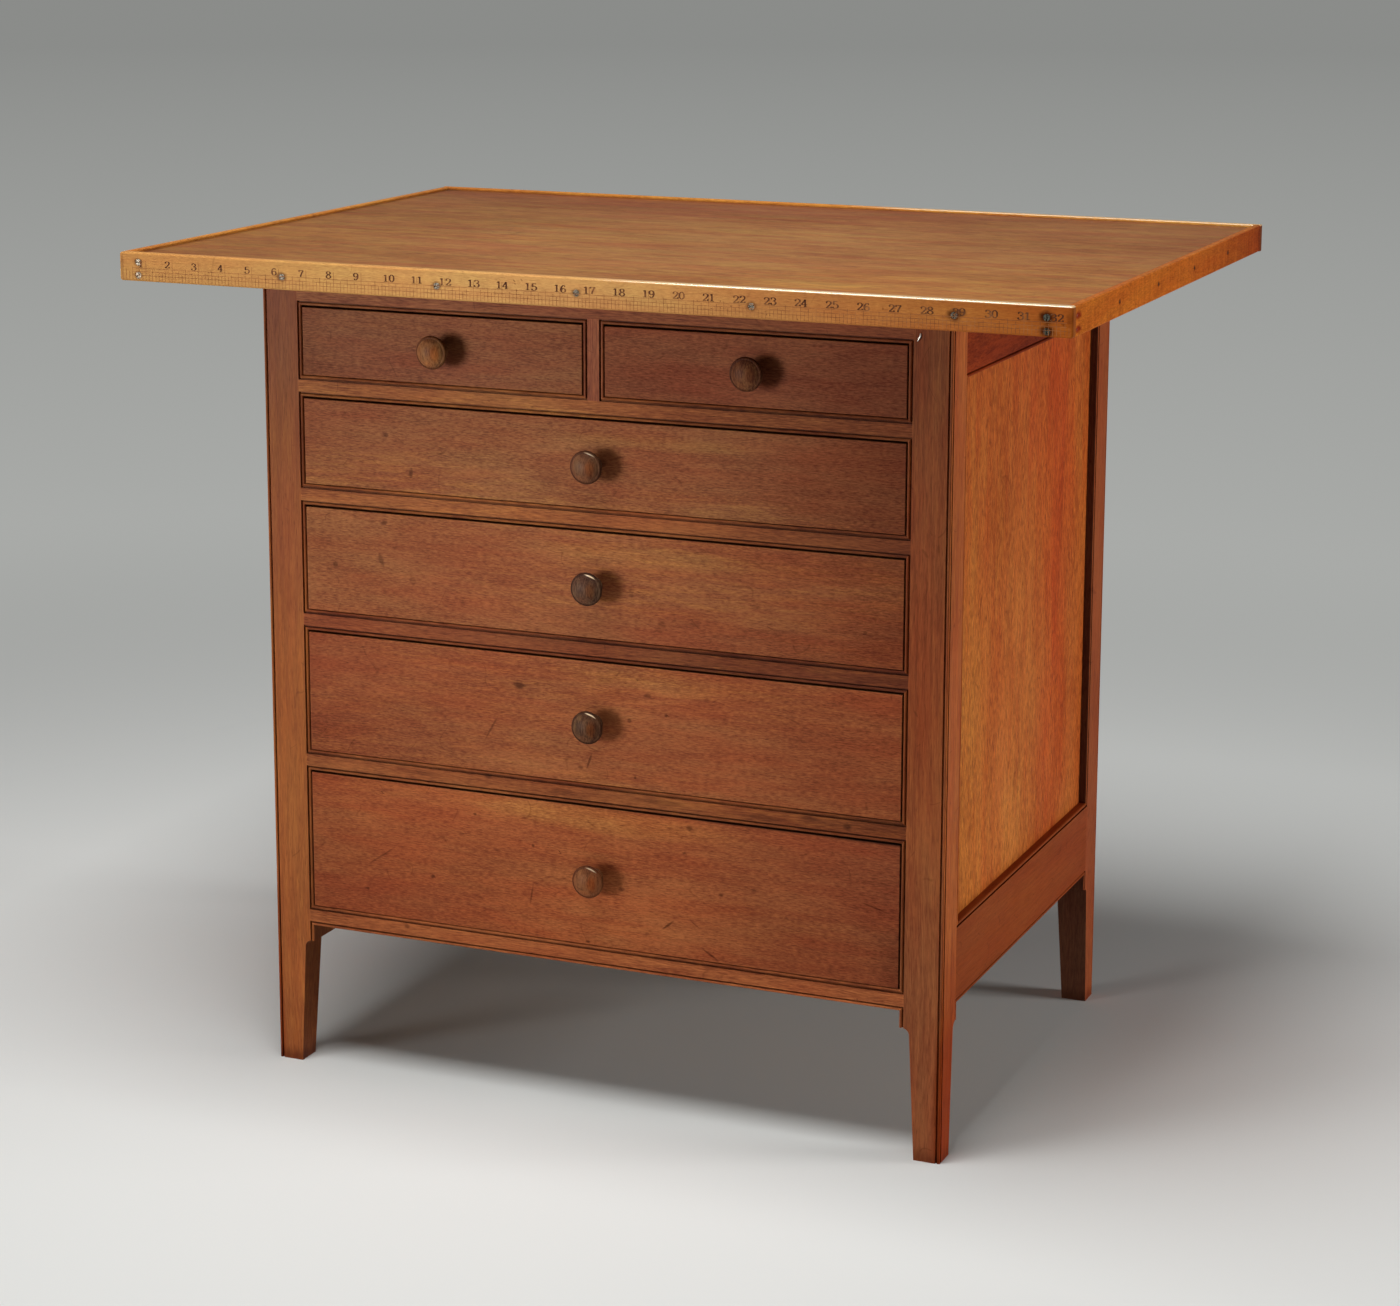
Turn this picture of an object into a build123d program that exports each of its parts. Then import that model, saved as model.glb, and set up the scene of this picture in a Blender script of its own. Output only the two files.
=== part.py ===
from build123d import *
from dataclasses import dataclass
from math import cos, radians, sin
import os

os.makedirs("parts", exist_ok=True)

# A sewing desk in the Shaker manner: a chest of six drawers on four tapered posts, under a wide
# tabletop whose front rim is a ruler. Millimetres. The origin is on the floor, under the middle
# of the tabletop: +X to the right of someone at the drawers, +Y to the back, +Z up.

# ---------------------------------------------------------------- tabletop
inch = 25.4
ruler_inches = 32.5
top_width = ruler_inches * inch
top_depth = 594
desk_height = 709
rim_height = 24
rim_thickness = 6.5
rim_lip = 2.5                  # the rim stands this far above the board
rim_edge_radius = 1.6          # worn edges of the rim
ruler_end_radius = 2.2         # worn corners at the ruler's ends

# ---------------------------------------------------------------- case and legs
side_overhang = 108.25
front_overhang = 48
back_overhang = 109
post_size = 36.5               # square section
leg_size = 28                  # just under the shoulder
foot_size = 22.4
shoulder_drop = 14             # from the case's underside to the flat of the shoulder
shoulder_radius = 6

# ---------------------------------------------------------------- beads
bead_radius = 1.3
quirk_width = 1.2
quirk_depth = 1.8
bead_zone = 2 * bead_radius + quirk_width
ear_depth = 3                  # thickness of the mitred ears that cover a neighbour's bead

# ---------------------------------------------------------------- front frame
opening_heights = (59, 74.5, 90.5, 105.5, 121.5)    # from the top drawers down
rail_height = 18
top_rail_height = 19
rail_depth = 55
divider_width = 18
divider_depth = 40

# ---------------------------------------------------------------- panelled sides and back
side_top_rail_height = 48.5
side_bottom_rail_height = 68
side_rail_thickness = 20
panel_thickness = 8
panel_recess = 7
panel_tongue = 6.5
groove_depth = 8

# ---------------------------------------------------------------- joinery
tenon_length = 14
tenon_thickness = 8
front_tenon_inset = 8          # from a front rail's face to its tenon
front_tenon_thickness = 22
divider_tenon_length = 5
tenon_shoulder = 4             # at an edge with no groove
groove_shoulder = 10           # at an edge with a panel groove
joint_clearance = 0.05         # glued and seated joints
joint_end_gap = 1

# ---------------------------------------------------------------- runners and kickers
runner_bearing = 20            # how far a runner reaches under a drawer
guide_height = 12
tongue_thickness = 6
tongue_length = 6

# ---------------------------------------------------------------- drawers
drawer_side_gap = 1
drawer_under_gap = 0.5
drawer_over_gap = 1.5
drawer_back_gap = 12           # behind a closed drawer, up to the back rails
front_thickness = 19
front_lap = 5                  # wood left in front of the half-blind dovetails
front_edge_radius = 0.6
side_thickness = 12
side_top_drop = 2              # the sides and back stay this far below the front's top edge
back_thickness = 12
bottom_thickness = 6
bottom_rise = 8                # from a drawer's lower edge to its bottom board
bottom_groove_depth = 5
tail_spacing = 26              # nearest spacing of the dovetails
pin_width = 5
tail_slope = 1 / 7

# ---------------------------------------------------------------- knobs
knob_radius = 13.9
knob_length = 21.5
knob_rim = 4                   # thickness of the cap's rounded rim
knob_dome = 4.5                # rise of the cap from its rim
knob_neck_radius = 5.7
knob_base_radius = 7.5
spigot_radius = 5

# ---------------------------------------------------------------- screws and nails
screw_head_radius = 2.7
screw_shank_radius = 1.5
screw_length = 22
screw_slot_width = 0.8
screw_slot_depth = 0.9
countersink_angle = 90
screw_clearance = 0.05
nail_head_radius = 1.2
nail_head_thickness = 0.7
nail_radius = 0.8
nail_length = 24
corner_nail_length = 14        # short of the ruler's end screws
nail_pitch = 114.5
back_nail_pitch = 150
corner_nail_inset = 9.5        # from the ruler's face to the two nails at the end of a side rim
top_screw_head_radius = 4
top_screw_radius = 2
top_screw_length = 32

# Where the ruler is screwed on: inches from its left end, or back from its right end where less
# than 0; height above its lower edge; and the turn of the slot in degrees.
ruler_screw_places = (
    (0.72, 16, 0),
    (0.71, 5, 35),
    (6.1, 10.6, 20),
    (11.7, 11, 15),
    (16.55, 12, 5),
    (-10.1, 9.7, 25),
    (-3.65, 12.2, 75),
    (-0.81, 14.7, 90),
    (-0.8, 4.2, 90),
)
corner_nail_heights = (16.1, 5.6)

# ---------------------------------------------------------------- places
case_width = top_width - 2 * side_overhang
case_depth = top_depth - front_overhang - back_overhang
case_left = -case_width / 2
case_front = -top_depth / 2 + front_overhang
case_back = case_front + case_depth
case_middle = (case_front + case_back) / 2
top_left = -top_width / 2
top_front = -top_depth / 2
under_top = desk_height - rim_height
board_thickness = rim_height - rim_lip
opening_width = case_width - 2 * post_size
side_opening = case_depth - 2 * post_size
small_opening_width = (opening_width - divider_width) / 2
back_rail_front = case_back - side_rail_thickness

opening_floors = []
level = under_top - top_rail_height
for opening_height in opening_heights:
    level -= opening_height
    opening_floors.append(level)
    level -= rail_height
case_underside = level
shoulder_level = case_underside - shoulder_drop


def upright(origin, outward):
    """A standing plane: x to the right as seen from outside, y up, z outwards."""
    return Plane(origin=origin, x_dir=Vector(0, 0, 1).cross(Vector(outward)), z_dir=outward)


def save(piece, label):
    """Name a finished piece and write it."""
    piece.part.label = label
    export_step(piece.part, f"parts/{label}.step")


# ---------------------------------------------------------------- beads
def cut_bead(edge_point, inward, away, reach):
    """Cut a bead and its quirk along an edge, for a reach both ways from a point on it.

    inward goes into the wood from the face, and away goes over the face from the edge."""
    section = Plane(origin=edge_point, x_dir=inward, z_dir=inward.cross(away))
    with BuildSketch(section) as waste:
        with Locations((bead_radius / 2, bead_radius)):
            Rectangle(bead_radius, 2 * bead_radius)
        with Locations((bead_radius, bead_radius)):
            Circle(bead_radius, mode=Mode.SUBTRACT)
        with Locations((quirk_depth / 2, 2 * bead_radius + quirk_width / 2)):
            Rectangle(quirk_depth, quirk_width)
    extrude(waste.sketch, amount=reach, both=True, mode=Mode.SUBTRACT)


def cut_corner_bead(corner, inward_a, inward_b, reach):
    """Cut a three-quarter bead, with a quirk on both faces, along an outer corner."""
    section = Plane(origin=corner, x_dir=inward_a, z_dir=inward_a.cross(inward_b))
    quirk_middle = 2 * bead_radius + quirk_width / 2
    with BuildSketch(section) as waste:
        with Locations((bead_radius, bead_radius)):
            Rectangle(2 * bead_radius, 2 * bead_radius)
            Circle(bead_radius, mode=Mode.SUBTRACT)
        with Locations((1.5 * bead_radius, 1.5 * bead_radius)):
            Rectangle(bead_radius, bead_radius, mode=Mode.SUBTRACT)
        with Locations((quirk_middle, quirk_depth / 2)):
            Rectangle(quirk_width, quirk_depth)
        with Locations((quirk_depth / 2, quirk_middle)):
            Rectangle(quirk_depth, quirk_width)
    extrude(waste.sketch, amount=reach, both=True, mode=Mode.SUBTRACT)


# ---------------------------------------------------------------- frame members and panels
@dataclass
class Bar:
    """A straight frame member, its face flush with the faces of what it runs between.

    face lies on the middle of the face's lower edge: x along the bar, y up, z outwards."""
    face: Plane
    length: float
    height: float
    depth: float
    beads: tuple
    low_shoulder: float = tenon_shoulder
    high_shoulder: float = tenon_shoulder
    tenon_inset: float = panel_recess
    tenon_thickness: float = tenon_thickness
    tenon_length: float = tenon_length

    def sketch_face(self):
        """The face with its ears, mitred over the neighbours' beads."""
        half = self.length / 2
        reach = half + bead_zone
        low = bead_zone if "low" in self.beads else 0
        high = self.height - (bead_zone if "high" in self.beads else 0)
        Polygon(
            (-half, 0), (half, 0), (reach, low), (reach, high),
            (half, self.height), (-half, self.height), (-reach, high), (-reach, low),
            align=None,
        )

    def sketch_tenons(self, side_room, end_room):
        """Both tenons in one strip, with room around them for a mortise."""
        low = self.low_shoulder - side_room
        high = self.height - self.high_shoulder + side_room
        with Locations((0, (low + high) / 2)):
            Rectangle(self.length + 2 * (self.tenon_length + end_room), high - low)

    def add(self):
        """Build the bar in the open part."""
        with BuildSketch(self.face) as face:
            self.sketch_face()
        extrude(face.sketch, amount=-ear_depth)
        with BuildSketch(self.face) as body:
            with Locations((0, self.height / 2)):
                Rectangle(self.length, self.height)
        extrude(body.sketch, amount=-self.depth)
        with BuildSketch(self.face.offset(-self.tenon_inset)) as tenons:
            self.sketch_tenons(0, 0)
        extrude(tenons.sketch, amount=-self.tenon_thickness)
        reach = self.length / 2 + bead_zone
        if "low" in self.beads:
            cut_bead(self.face.origin, -self.face.z_dir, self.face.y_dir, reach)
        if "high" in self.beads:
            upper_edge = self.face.from_local_coords((0, self.height, 0))
            cut_bead(upper_edge, -self.face.z_dir, -self.face.y_dir, reach)

    def house(self):
        """Cut the seats of the bar's ears and tenons in the open part."""
        with BuildSketch(self.face) as face:
            self.sketch_face()
        extrude(face.sketch, amount=-ear_depth, mode=Mode.SUBTRACT)
        with BuildSketch(self.face.offset(joint_clearance - self.tenon_inset)) as mortises:
            self.sketch_tenons(joint_clearance, joint_end_gap)
        mortise_width = self.tenon_thickness + 2 * joint_clearance
        extrude(mortises.sketch, amount=-mortise_width, mode=Mode.SUBTRACT)


@dataclass
class Panel:
    """A flat board held in the grooves of its frame, its face set back by panel_recess.

    face lies on the middle of the lower edge of the frame's opening."""
    face: Plane
    width: float
    height: float

    def sketch_board(self, tongue):
        with Locations((0, self.height / 2)):
            Rectangle(self.width + 2 * tongue, self.height + 2 * tongue)

    def add(self):
        """Build the panel in the open part."""
        with BuildSketch(self.face.offset(-panel_recess)) as board:
            self.sketch_board(panel_tongue)
        extrude(board.sketch, amount=-panel_thickness)

    def house(self):
        """Cut the panel's groove in the open part."""
        with BuildSketch(self.face.offset(joint_clearance - panel_recess)) as groove:
            self.sketch_board(groove_depth)
        groove_width = panel_thickness + 2 * joint_clearance
        extrude(groove.sketch, amount=-groove_width, mode=Mode.SUBTRACT)


def front_bar(floor, height, beads):
    return Bar(
        face=upright((0, case_front, floor), (0, -1, 0)), length=opening_width, height=height,
        depth=rail_depth, beads=beads, tenon_inset=front_tenon_inset,
        tenon_thickness=front_tenon_thickness,
    )


def frame_pair(origin, outward, length):
    """The top and bottom rail and the panel of one panelled face."""
    x, y = origin
    top_floor = under_top - side_top_rail_height
    panel_floor = case_underside + side_bottom_rail_height
    shared = dict(length=length, depth=side_rail_thickness)
    top_bar = Bar(
        face=upright((x, y, top_floor), outward), height=side_top_rail_height,
        beads=("low",), low_shoulder=groove_shoulder, **shared,
    )
    bottom_bar = Bar(
        face=upright((x, y, case_underside), outward), height=side_bottom_rail_height,
        beads=("low", "high"), high_shoulder=groove_shoulder, **shared,
    )
    panel = Panel(upright((x, y, panel_floor), outward), length, top_floor - panel_floor)
    return top_bar, bottom_bar, panel


front_bars = {"front_rail_top": front_bar(under_top - top_rail_height, top_rail_height, ("low",))}
for number, floor in enumerate(opening_floors[:-1], start=1):
    front_bars[f"drawer_rail_{number}"] = front_bar(floor - rail_height, rail_height, ("low", "high"))
front_bars["front_rail_bottom"] = front_bar(case_underside, rail_height, ("low", "high"))

divider = Bar(
    face=Plane(
        origin=(divider_width / 2, case_front, opening_floors[0] + opening_heights[0] / 2),
        x_dir=(0, 0, 1), z_dir=(0, -1, 0),
    ),
    length=opening_heights[0], height=divider_width, depth=divider_depth, beads=("low", "high"),
    tenon_inset=front_tenon_inset, tenon_length=divider_tenon_length,
)
side_top_bar, side_bottom_bar, side_panel = frame_pair(
    (case_left, case_middle), (-1, 0, 0), side_opening
)
back_top_bar, back_bottom_bar, back_panel = frame_pair(
    (0, case_back), (0, 1, 0), opening_width
)


# ---------------------------------------------------------------- posts
def cut_leg(origin, across):
    """Cut the shoulder and the tapered inner face of a leg, as seen along one side of the post."""
    view = Plane(origin=origin, x_dir=across, z_dir=across.cross(Vector(0, 0, 1)))
    outside = 2 * post_size
    with BuildSketch(view) as outline:
        Polygon(
            (leg_size, shoulder_level), (outside, shoulder_level), (outside, 0), (foot_size, 0),
            align=None,
        )
        cove = outline.vertices().group_by(Axis.Y)[-1].sort_by(Axis.X)[0]
        fillet(cove, shoulder_radius)
    extrude(outline.sketch, amount=post_size, both=True, mode=Mode.SUBTRACT)


def build_post(corner_y, inward_y, bars, panels):
    """A left post: square, beaded on its corner and inner edges, tapered under the case."""
    corner = Vector(case_left, corner_y, 0)
    right = Vector(1, 0, 0)
    inward = Vector(0, inward_y, 0)
    middle = corner + (right + inward) * (post_size / 2)
    with BuildPart() as post:
        with BuildSketch(Plane(origin=middle)):
            Rectangle(post_size, post_size)
        extrude(amount=under_top)
        cut_corner_bead(corner, right, inward, under_top)
        cut_bead(corner + right * post_size, inward, -right, under_top)
        cut_bead(corner + inward * post_size, right, -inward, under_top)
        cut_leg(corner, right)
        cut_leg(corner, inward)
        for piece in (*bars, *panels):
            piece.house()
    return post


front_post = build_post(
    case_front, 1, (*front_bars.values(), side_top_bar, side_bottom_bar), (side_panel,)
)
back_post = build_post(
    case_back, -1, (back_top_bar, back_bottom_bar, side_top_bar, side_bottom_bar),
    (side_panel, back_panel),
)
for place, post in (("front", front_post), ("back", back_post)):
    save(post, f"post_{place}_left")
    with BuildPart() as right_post:
        mirror(post.part, about=Plane.YZ)
    save(right_post, f"post_{place}_right")


# ---------------------------------------------------------------- front rails and divider
def cut_tongue_groove(bar):
    """The groove in a front rail's back edge that takes the runners' tongues."""
    with BuildSketch(bar.face.offset(-bar.depth)) as groove:
        with Locations((0, bar.height / 2)):
            Rectangle(bar.length, tongue_thickness + 2 * joint_clearance)
    extrude(groove.sketch, amount=tongue_length + joint_end_gap, mode=Mode.SUBTRACT)


for label, bar in front_bars.items():
    with BuildPart() as rail:
        bar.add()
        cut_tongue_groove(bar)
        if label in ("front_rail_top", "drawer_rail_1"):
            divider.house()
    save(rail, label)

with BuildPart() as divider_piece:
    divider.add()
save(divider_piece, "drawer_divider")

# ---------------------------------------------------------------- panelled sides and back
for place, bar in (("top", side_top_bar), ("bottom", side_bottom_bar)):
    with BuildPart() as side_rail:
        bar.add()
        side_panel.house()
    save(side_rail, f"side_rail_{place}_left")
    with BuildPart() as right_side_rail:
        mirror(side_rail.part, about=Plane.YZ)
    save(right_side_rail, f"side_rail_{place}_right")

for place, bar in (("top", back_top_bar), ("bottom", back_bottom_bar)):
    with BuildPart() as back_rail:
        bar.add()
        back_panel.house()
    save(back_rail, f"back_rail_{place}")

with BuildPart() as side_panel_left:
    side_panel.add()
save(side_panel_left, "side_panel_left")
with BuildPart() as side_panel_right:
    mirror(side_panel_left.part, about=Plane.YZ)
save(side_panel_right, "side_panel_right")
with BuildPart() as back_panel_piece:
    back_panel.add()
save(back_panel_piece, "back_panel")

# ---------------------------------------------------------------- seats of the screws and nails
outer_face = {"front": (0, -1, 0), "back": (0, 1, 0), "left": (-1, 0, 0), "right": (1, 0, 0)}
top_right = top_left + top_width
top_back = top_front + top_depth
rim_middle = under_top + rim_height / 2
bearer_left = case_left + side_rail_thickness
bearer_right = case_left + post_size + runner_bearing
bearer_middle = (bearer_left + bearer_right) / 2
kicker_underside = under_top - top_rail_height

ruler_screw_seats = [
    Plane(
        origin=(top_left + (inches % ruler_inches) * inch, top_front, under_top + height),
        x_dir=(cos(radians(slot_turn)), 0, sin(radians(slot_turn))), z_dir=outer_face["front"],
    )
    for inches, height, slot_turn in ruler_screw_places
]
rim_nail_seats = [
    upright((edge, step * nail_pitch, rim_middle), outer_face[side])
    for side, edge in (("left", top_left), ("right", top_right))
    for step in (-1.5, -0.5, 0.5, 1.5)
]
corner_nail_seats = [
    upright((edge, top_front + corner_nail_inset, under_top + height), outer_face[side])
    for side, edge in (("left", top_left), ("right", top_right))
    for height in corner_nail_heights
]
back_nail_seats = [
    upright((step * back_nail_pitch, top_back, rim_middle), outer_face["back"])
    for step in (-2, -1, 0, 1, 2)
]
top_screw_seats = [
    Plane(origin=(x, y, kicker_underside), x_dir=(1, 0, 0), z_dir=(0, 0, -1))
    for x in (bearer_middle, 0, -bearer_middle)
    for y in (case_middle - side_opening / 3, case_middle + side_opening / 3)
]


top_aligned = (Align.CENTER, Align.CENTER, Align.MAX)


def add_screws(seats, head_radius, shank_radius, length):
    """Slotted countersunk screws, one at each seat, their heads flush with it."""
    head_height = head_radius - shank_radius
    with Locations(*seats):
        Cone(shank_radius, head_radius, head_height, align=top_aligned)
        Cylinder(shank_radius, length, align=top_aligned)
        Box(
            2 * head_radius, screw_slot_width, screw_slot_depth,
            align=top_aligned, mode=Mode.SUBTRACT,
        )


def drill_for_screws(seats, head_radius, shank_radius, length):
    """Countersunk holes for the screws at these seats."""
    with Locations(*seats):
        CounterSinkHole(
            shank_radius + screw_clearance, head_radius + screw_clearance,
            length + screw_clearance, countersink_angle,
        )


def add_nails(seats, length):
    """Small round-headed nails, their heads flush with their seats."""
    with Locations(*seats):
        Cylinder(nail_radius, length, align=top_aligned)
        Cylinder(nail_head_radius, nail_head_thickness, align=top_aligned)


def drill_for_nails(seats, length):
    with Locations(*seats):
        Hole(nail_radius + screw_clearance, length + screw_clearance)
        Hole(nail_head_radius + screw_clearance, nail_head_thickness + screw_clearance)


ruler_screw_sizes = (screw_head_radius, screw_shank_radius, screw_length)
top_screw_sizes = (top_screw_head_radius, top_screw_radius, top_screw_length)

with BuildPart() as ruler_screws:
    add_screws(ruler_screw_seats, *ruler_screw_sizes)
save(ruler_screws, "ruler_screws")

with BuildPart() as top_screws:
    add_screws(top_screw_seats, *top_screw_sizes)
save(top_screws, "top_screws")

with BuildPart() as rim_nails:
    add_nails(rim_nail_seats + back_nail_seats, nail_length)
    add_nails(corner_nail_seats, corner_nail_length)
save(rim_nails, "rim_nails")

# ---------------------------------------------------------------- tabletop
with BuildPart() as tabletop_board:
    with BuildSketch(Plane.XY.offset(under_top)):
        Rectangle(top_width - 2 * rim_thickness, top_depth - 2 * rim_thickness)
    extrude(amount=board_thickness)
    drill_for_screws(ruler_screw_seats, *ruler_screw_sizes)
    drill_for_screws(top_screw_seats, *top_screw_sizes)
    drill_for_nails(rim_nail_seats + back_nail_seats, nail_length)
    drill_for_nails(corner_nail_seats, corner_nail_length)
save(tabletop_board, "tabletop_board")


def add_rim(face, length):
    """A rim strip on one edge of the board; face is at the middle of its lower edge."""
    with BuildSketch(face) as strip:
        with Locations((0, rim_height / 2)):
            Rectangle(length, rim_height)
    extrude(strip.sketch, amount=-rim_thickness)


def wear_rim(strip, face):
    """Round a rim's upper edges and its lower outer edge."""
    long_edges = strip.edges().filter_by(Axis(face.origin, face.x_dir))
    upper_edges = long_edges.group_by(Axis.Z)[-1]
    lower_edges = long_edges.group_by(Axis.Z)[0].sort_by(Axis(face.origin, face.z_dir))
    fillet([*upper_edges, lower_edges[-1]], rim_edge_radius)


ruler_face = upright((0, top_front, under_top), outer_face["front"])
with BuildPart() as ruler_strip:
    add_rim(ruler_face, top_width)
    fillet(ruler_strip.edges().filter_by(Axis.Y), ruler_end_radius)
    fillet(ruler_strip.faces().sort_by(Axis.Y)[0].edges(), rim_edge_radius)
    drill_for_screws(ruler_screw_seats, *ruler_screw_sizes)
save(ruler_strip, "ruler_strip")

back_rim_face = upright((0, top_back, under_top), outer_face["back"])
with BuildPart() as rim_back:
    add_rim(back_rim_face, top_width)
    wear_rim(rim_back, back_rim_face)
    drill_for_nails(back_nail_seats, nail_length)
save(rim_back, "rim_back")

for side, edge in (("left", top_left), ("right", top_right)):
    side_face = upright((edge, 0, under_top), outer_face[side])
    with BuildPart() as side_rim:
        add_rim(side_face, top_depth - 2 * rim_thickness)
        wear_rim(side_rim, side_face)
        drill_for_nails(rim_nail_seats, nail_length)
        drill_for_nails(corner_nail_seats, corner_nail_length)
    save(side_rim, f"rim_{side}")


# ---------------------------------------------------------------- runners and kickers
def add_bearer(floor, height):
    """A left runner or kicker: between the posts, widened under the drawer behind the front rail."""
    post_inside = case_left + post_size
    rail_back = case_front + rail_depth
    between_back = case_back - post_size
    with BuildSketch(Plane.XY.offset(floor)) as outline:
        with Locations(((bearer_left + post_inside) / 2, case_middle)):
            Rectangle(post_inside - bearer_left, side_opening)
        with Locations(((post_inside + bearer_right) / 2, (rail_back + between_back) / 2)):
            Rectangle(bearer_right - post_inside, between_back - rail_back)
    extrude(outline.sketch, amount=height)
    with Locations(((post_inside + bearer_right) / 2, rail_back, floor + height / 2)):
        Box(
            bearer_right - post_inside, tongue_length, tongue_thickness,
            align=(Align.CENTER, Align.MAX, Align.CENTER),
        )


def add_centre_bearer(floor, height):
    """A runner or kicker on the middle line, from the front rail to the top back rail."""
    rail_back = case_front + rail_depth
    width = divider_width + 2 * runner_bearing
    with Locations((0, rail_back, floor)):
        Box(width, back_rail_front - rail_back, height, align=(Align.CENTER, Align.MIN, Align.MIN))
    with Locations((0, rail_back, floor + height / 2)):
        Box(
            width, tongue_length, tongue_thickness,
            align=(Align.CENTER, Align.MAX, Align.CENTER),
        )


def add_guide(floor):
    """A left guide, glued on its runner between the posts: it keeps the drawer straight."""
    with Locations((bearer_left, case_middle, floor + joint_clearance)):
        Box(
            case_left + post_size - bearer_left, side_opening, guide_height,
            align=(Align.MIN, Align.CENTER, Align.MIN),
        )


def add_centre_guide():
    """The board between the two top drawers, on the centre runner behind the divider."""
    divider_back = case_front + divider_depth
    with Locations((0, divider_back, opening_floors[0] + joint_clearance)):
        Box(
            divider_width, back_rail_front - divider_back, opening_heights[0] - joint_clearance,
            align=(Align.CENTER, Align.MIN, Align.MIN),
        )


with BuildPart() as left_runners:
    for floor in opening_floors:
        add_bearer(floor - rail_height, rail_height)
        add_guide(floor)
with BuildPart() as drawer_runners:
    add(left_runners.part)
    mirror(left_runners.part, about=Plane.YZ)
    add_centre_bearer(opening_floors[0] - rail_height, rail_height)
    add_centre_guide()
save(drawer_runners, "drawer_runners")

with BuildPart() as left_kicker:
    add_bearer(kicker_underside, top_rail_height)
with BuildPart() as drawer_kickers:
    add(left_kicker.part)
    mirror(left_kicker.part, about=Plane.YZ)
    add_centre_bearer(kicker_underside, top_rail_height)
    drill_for_screws(top_screw_seats, *top_screw_sizes)
save(drawer_kickers, "drawer_kickers")


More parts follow.
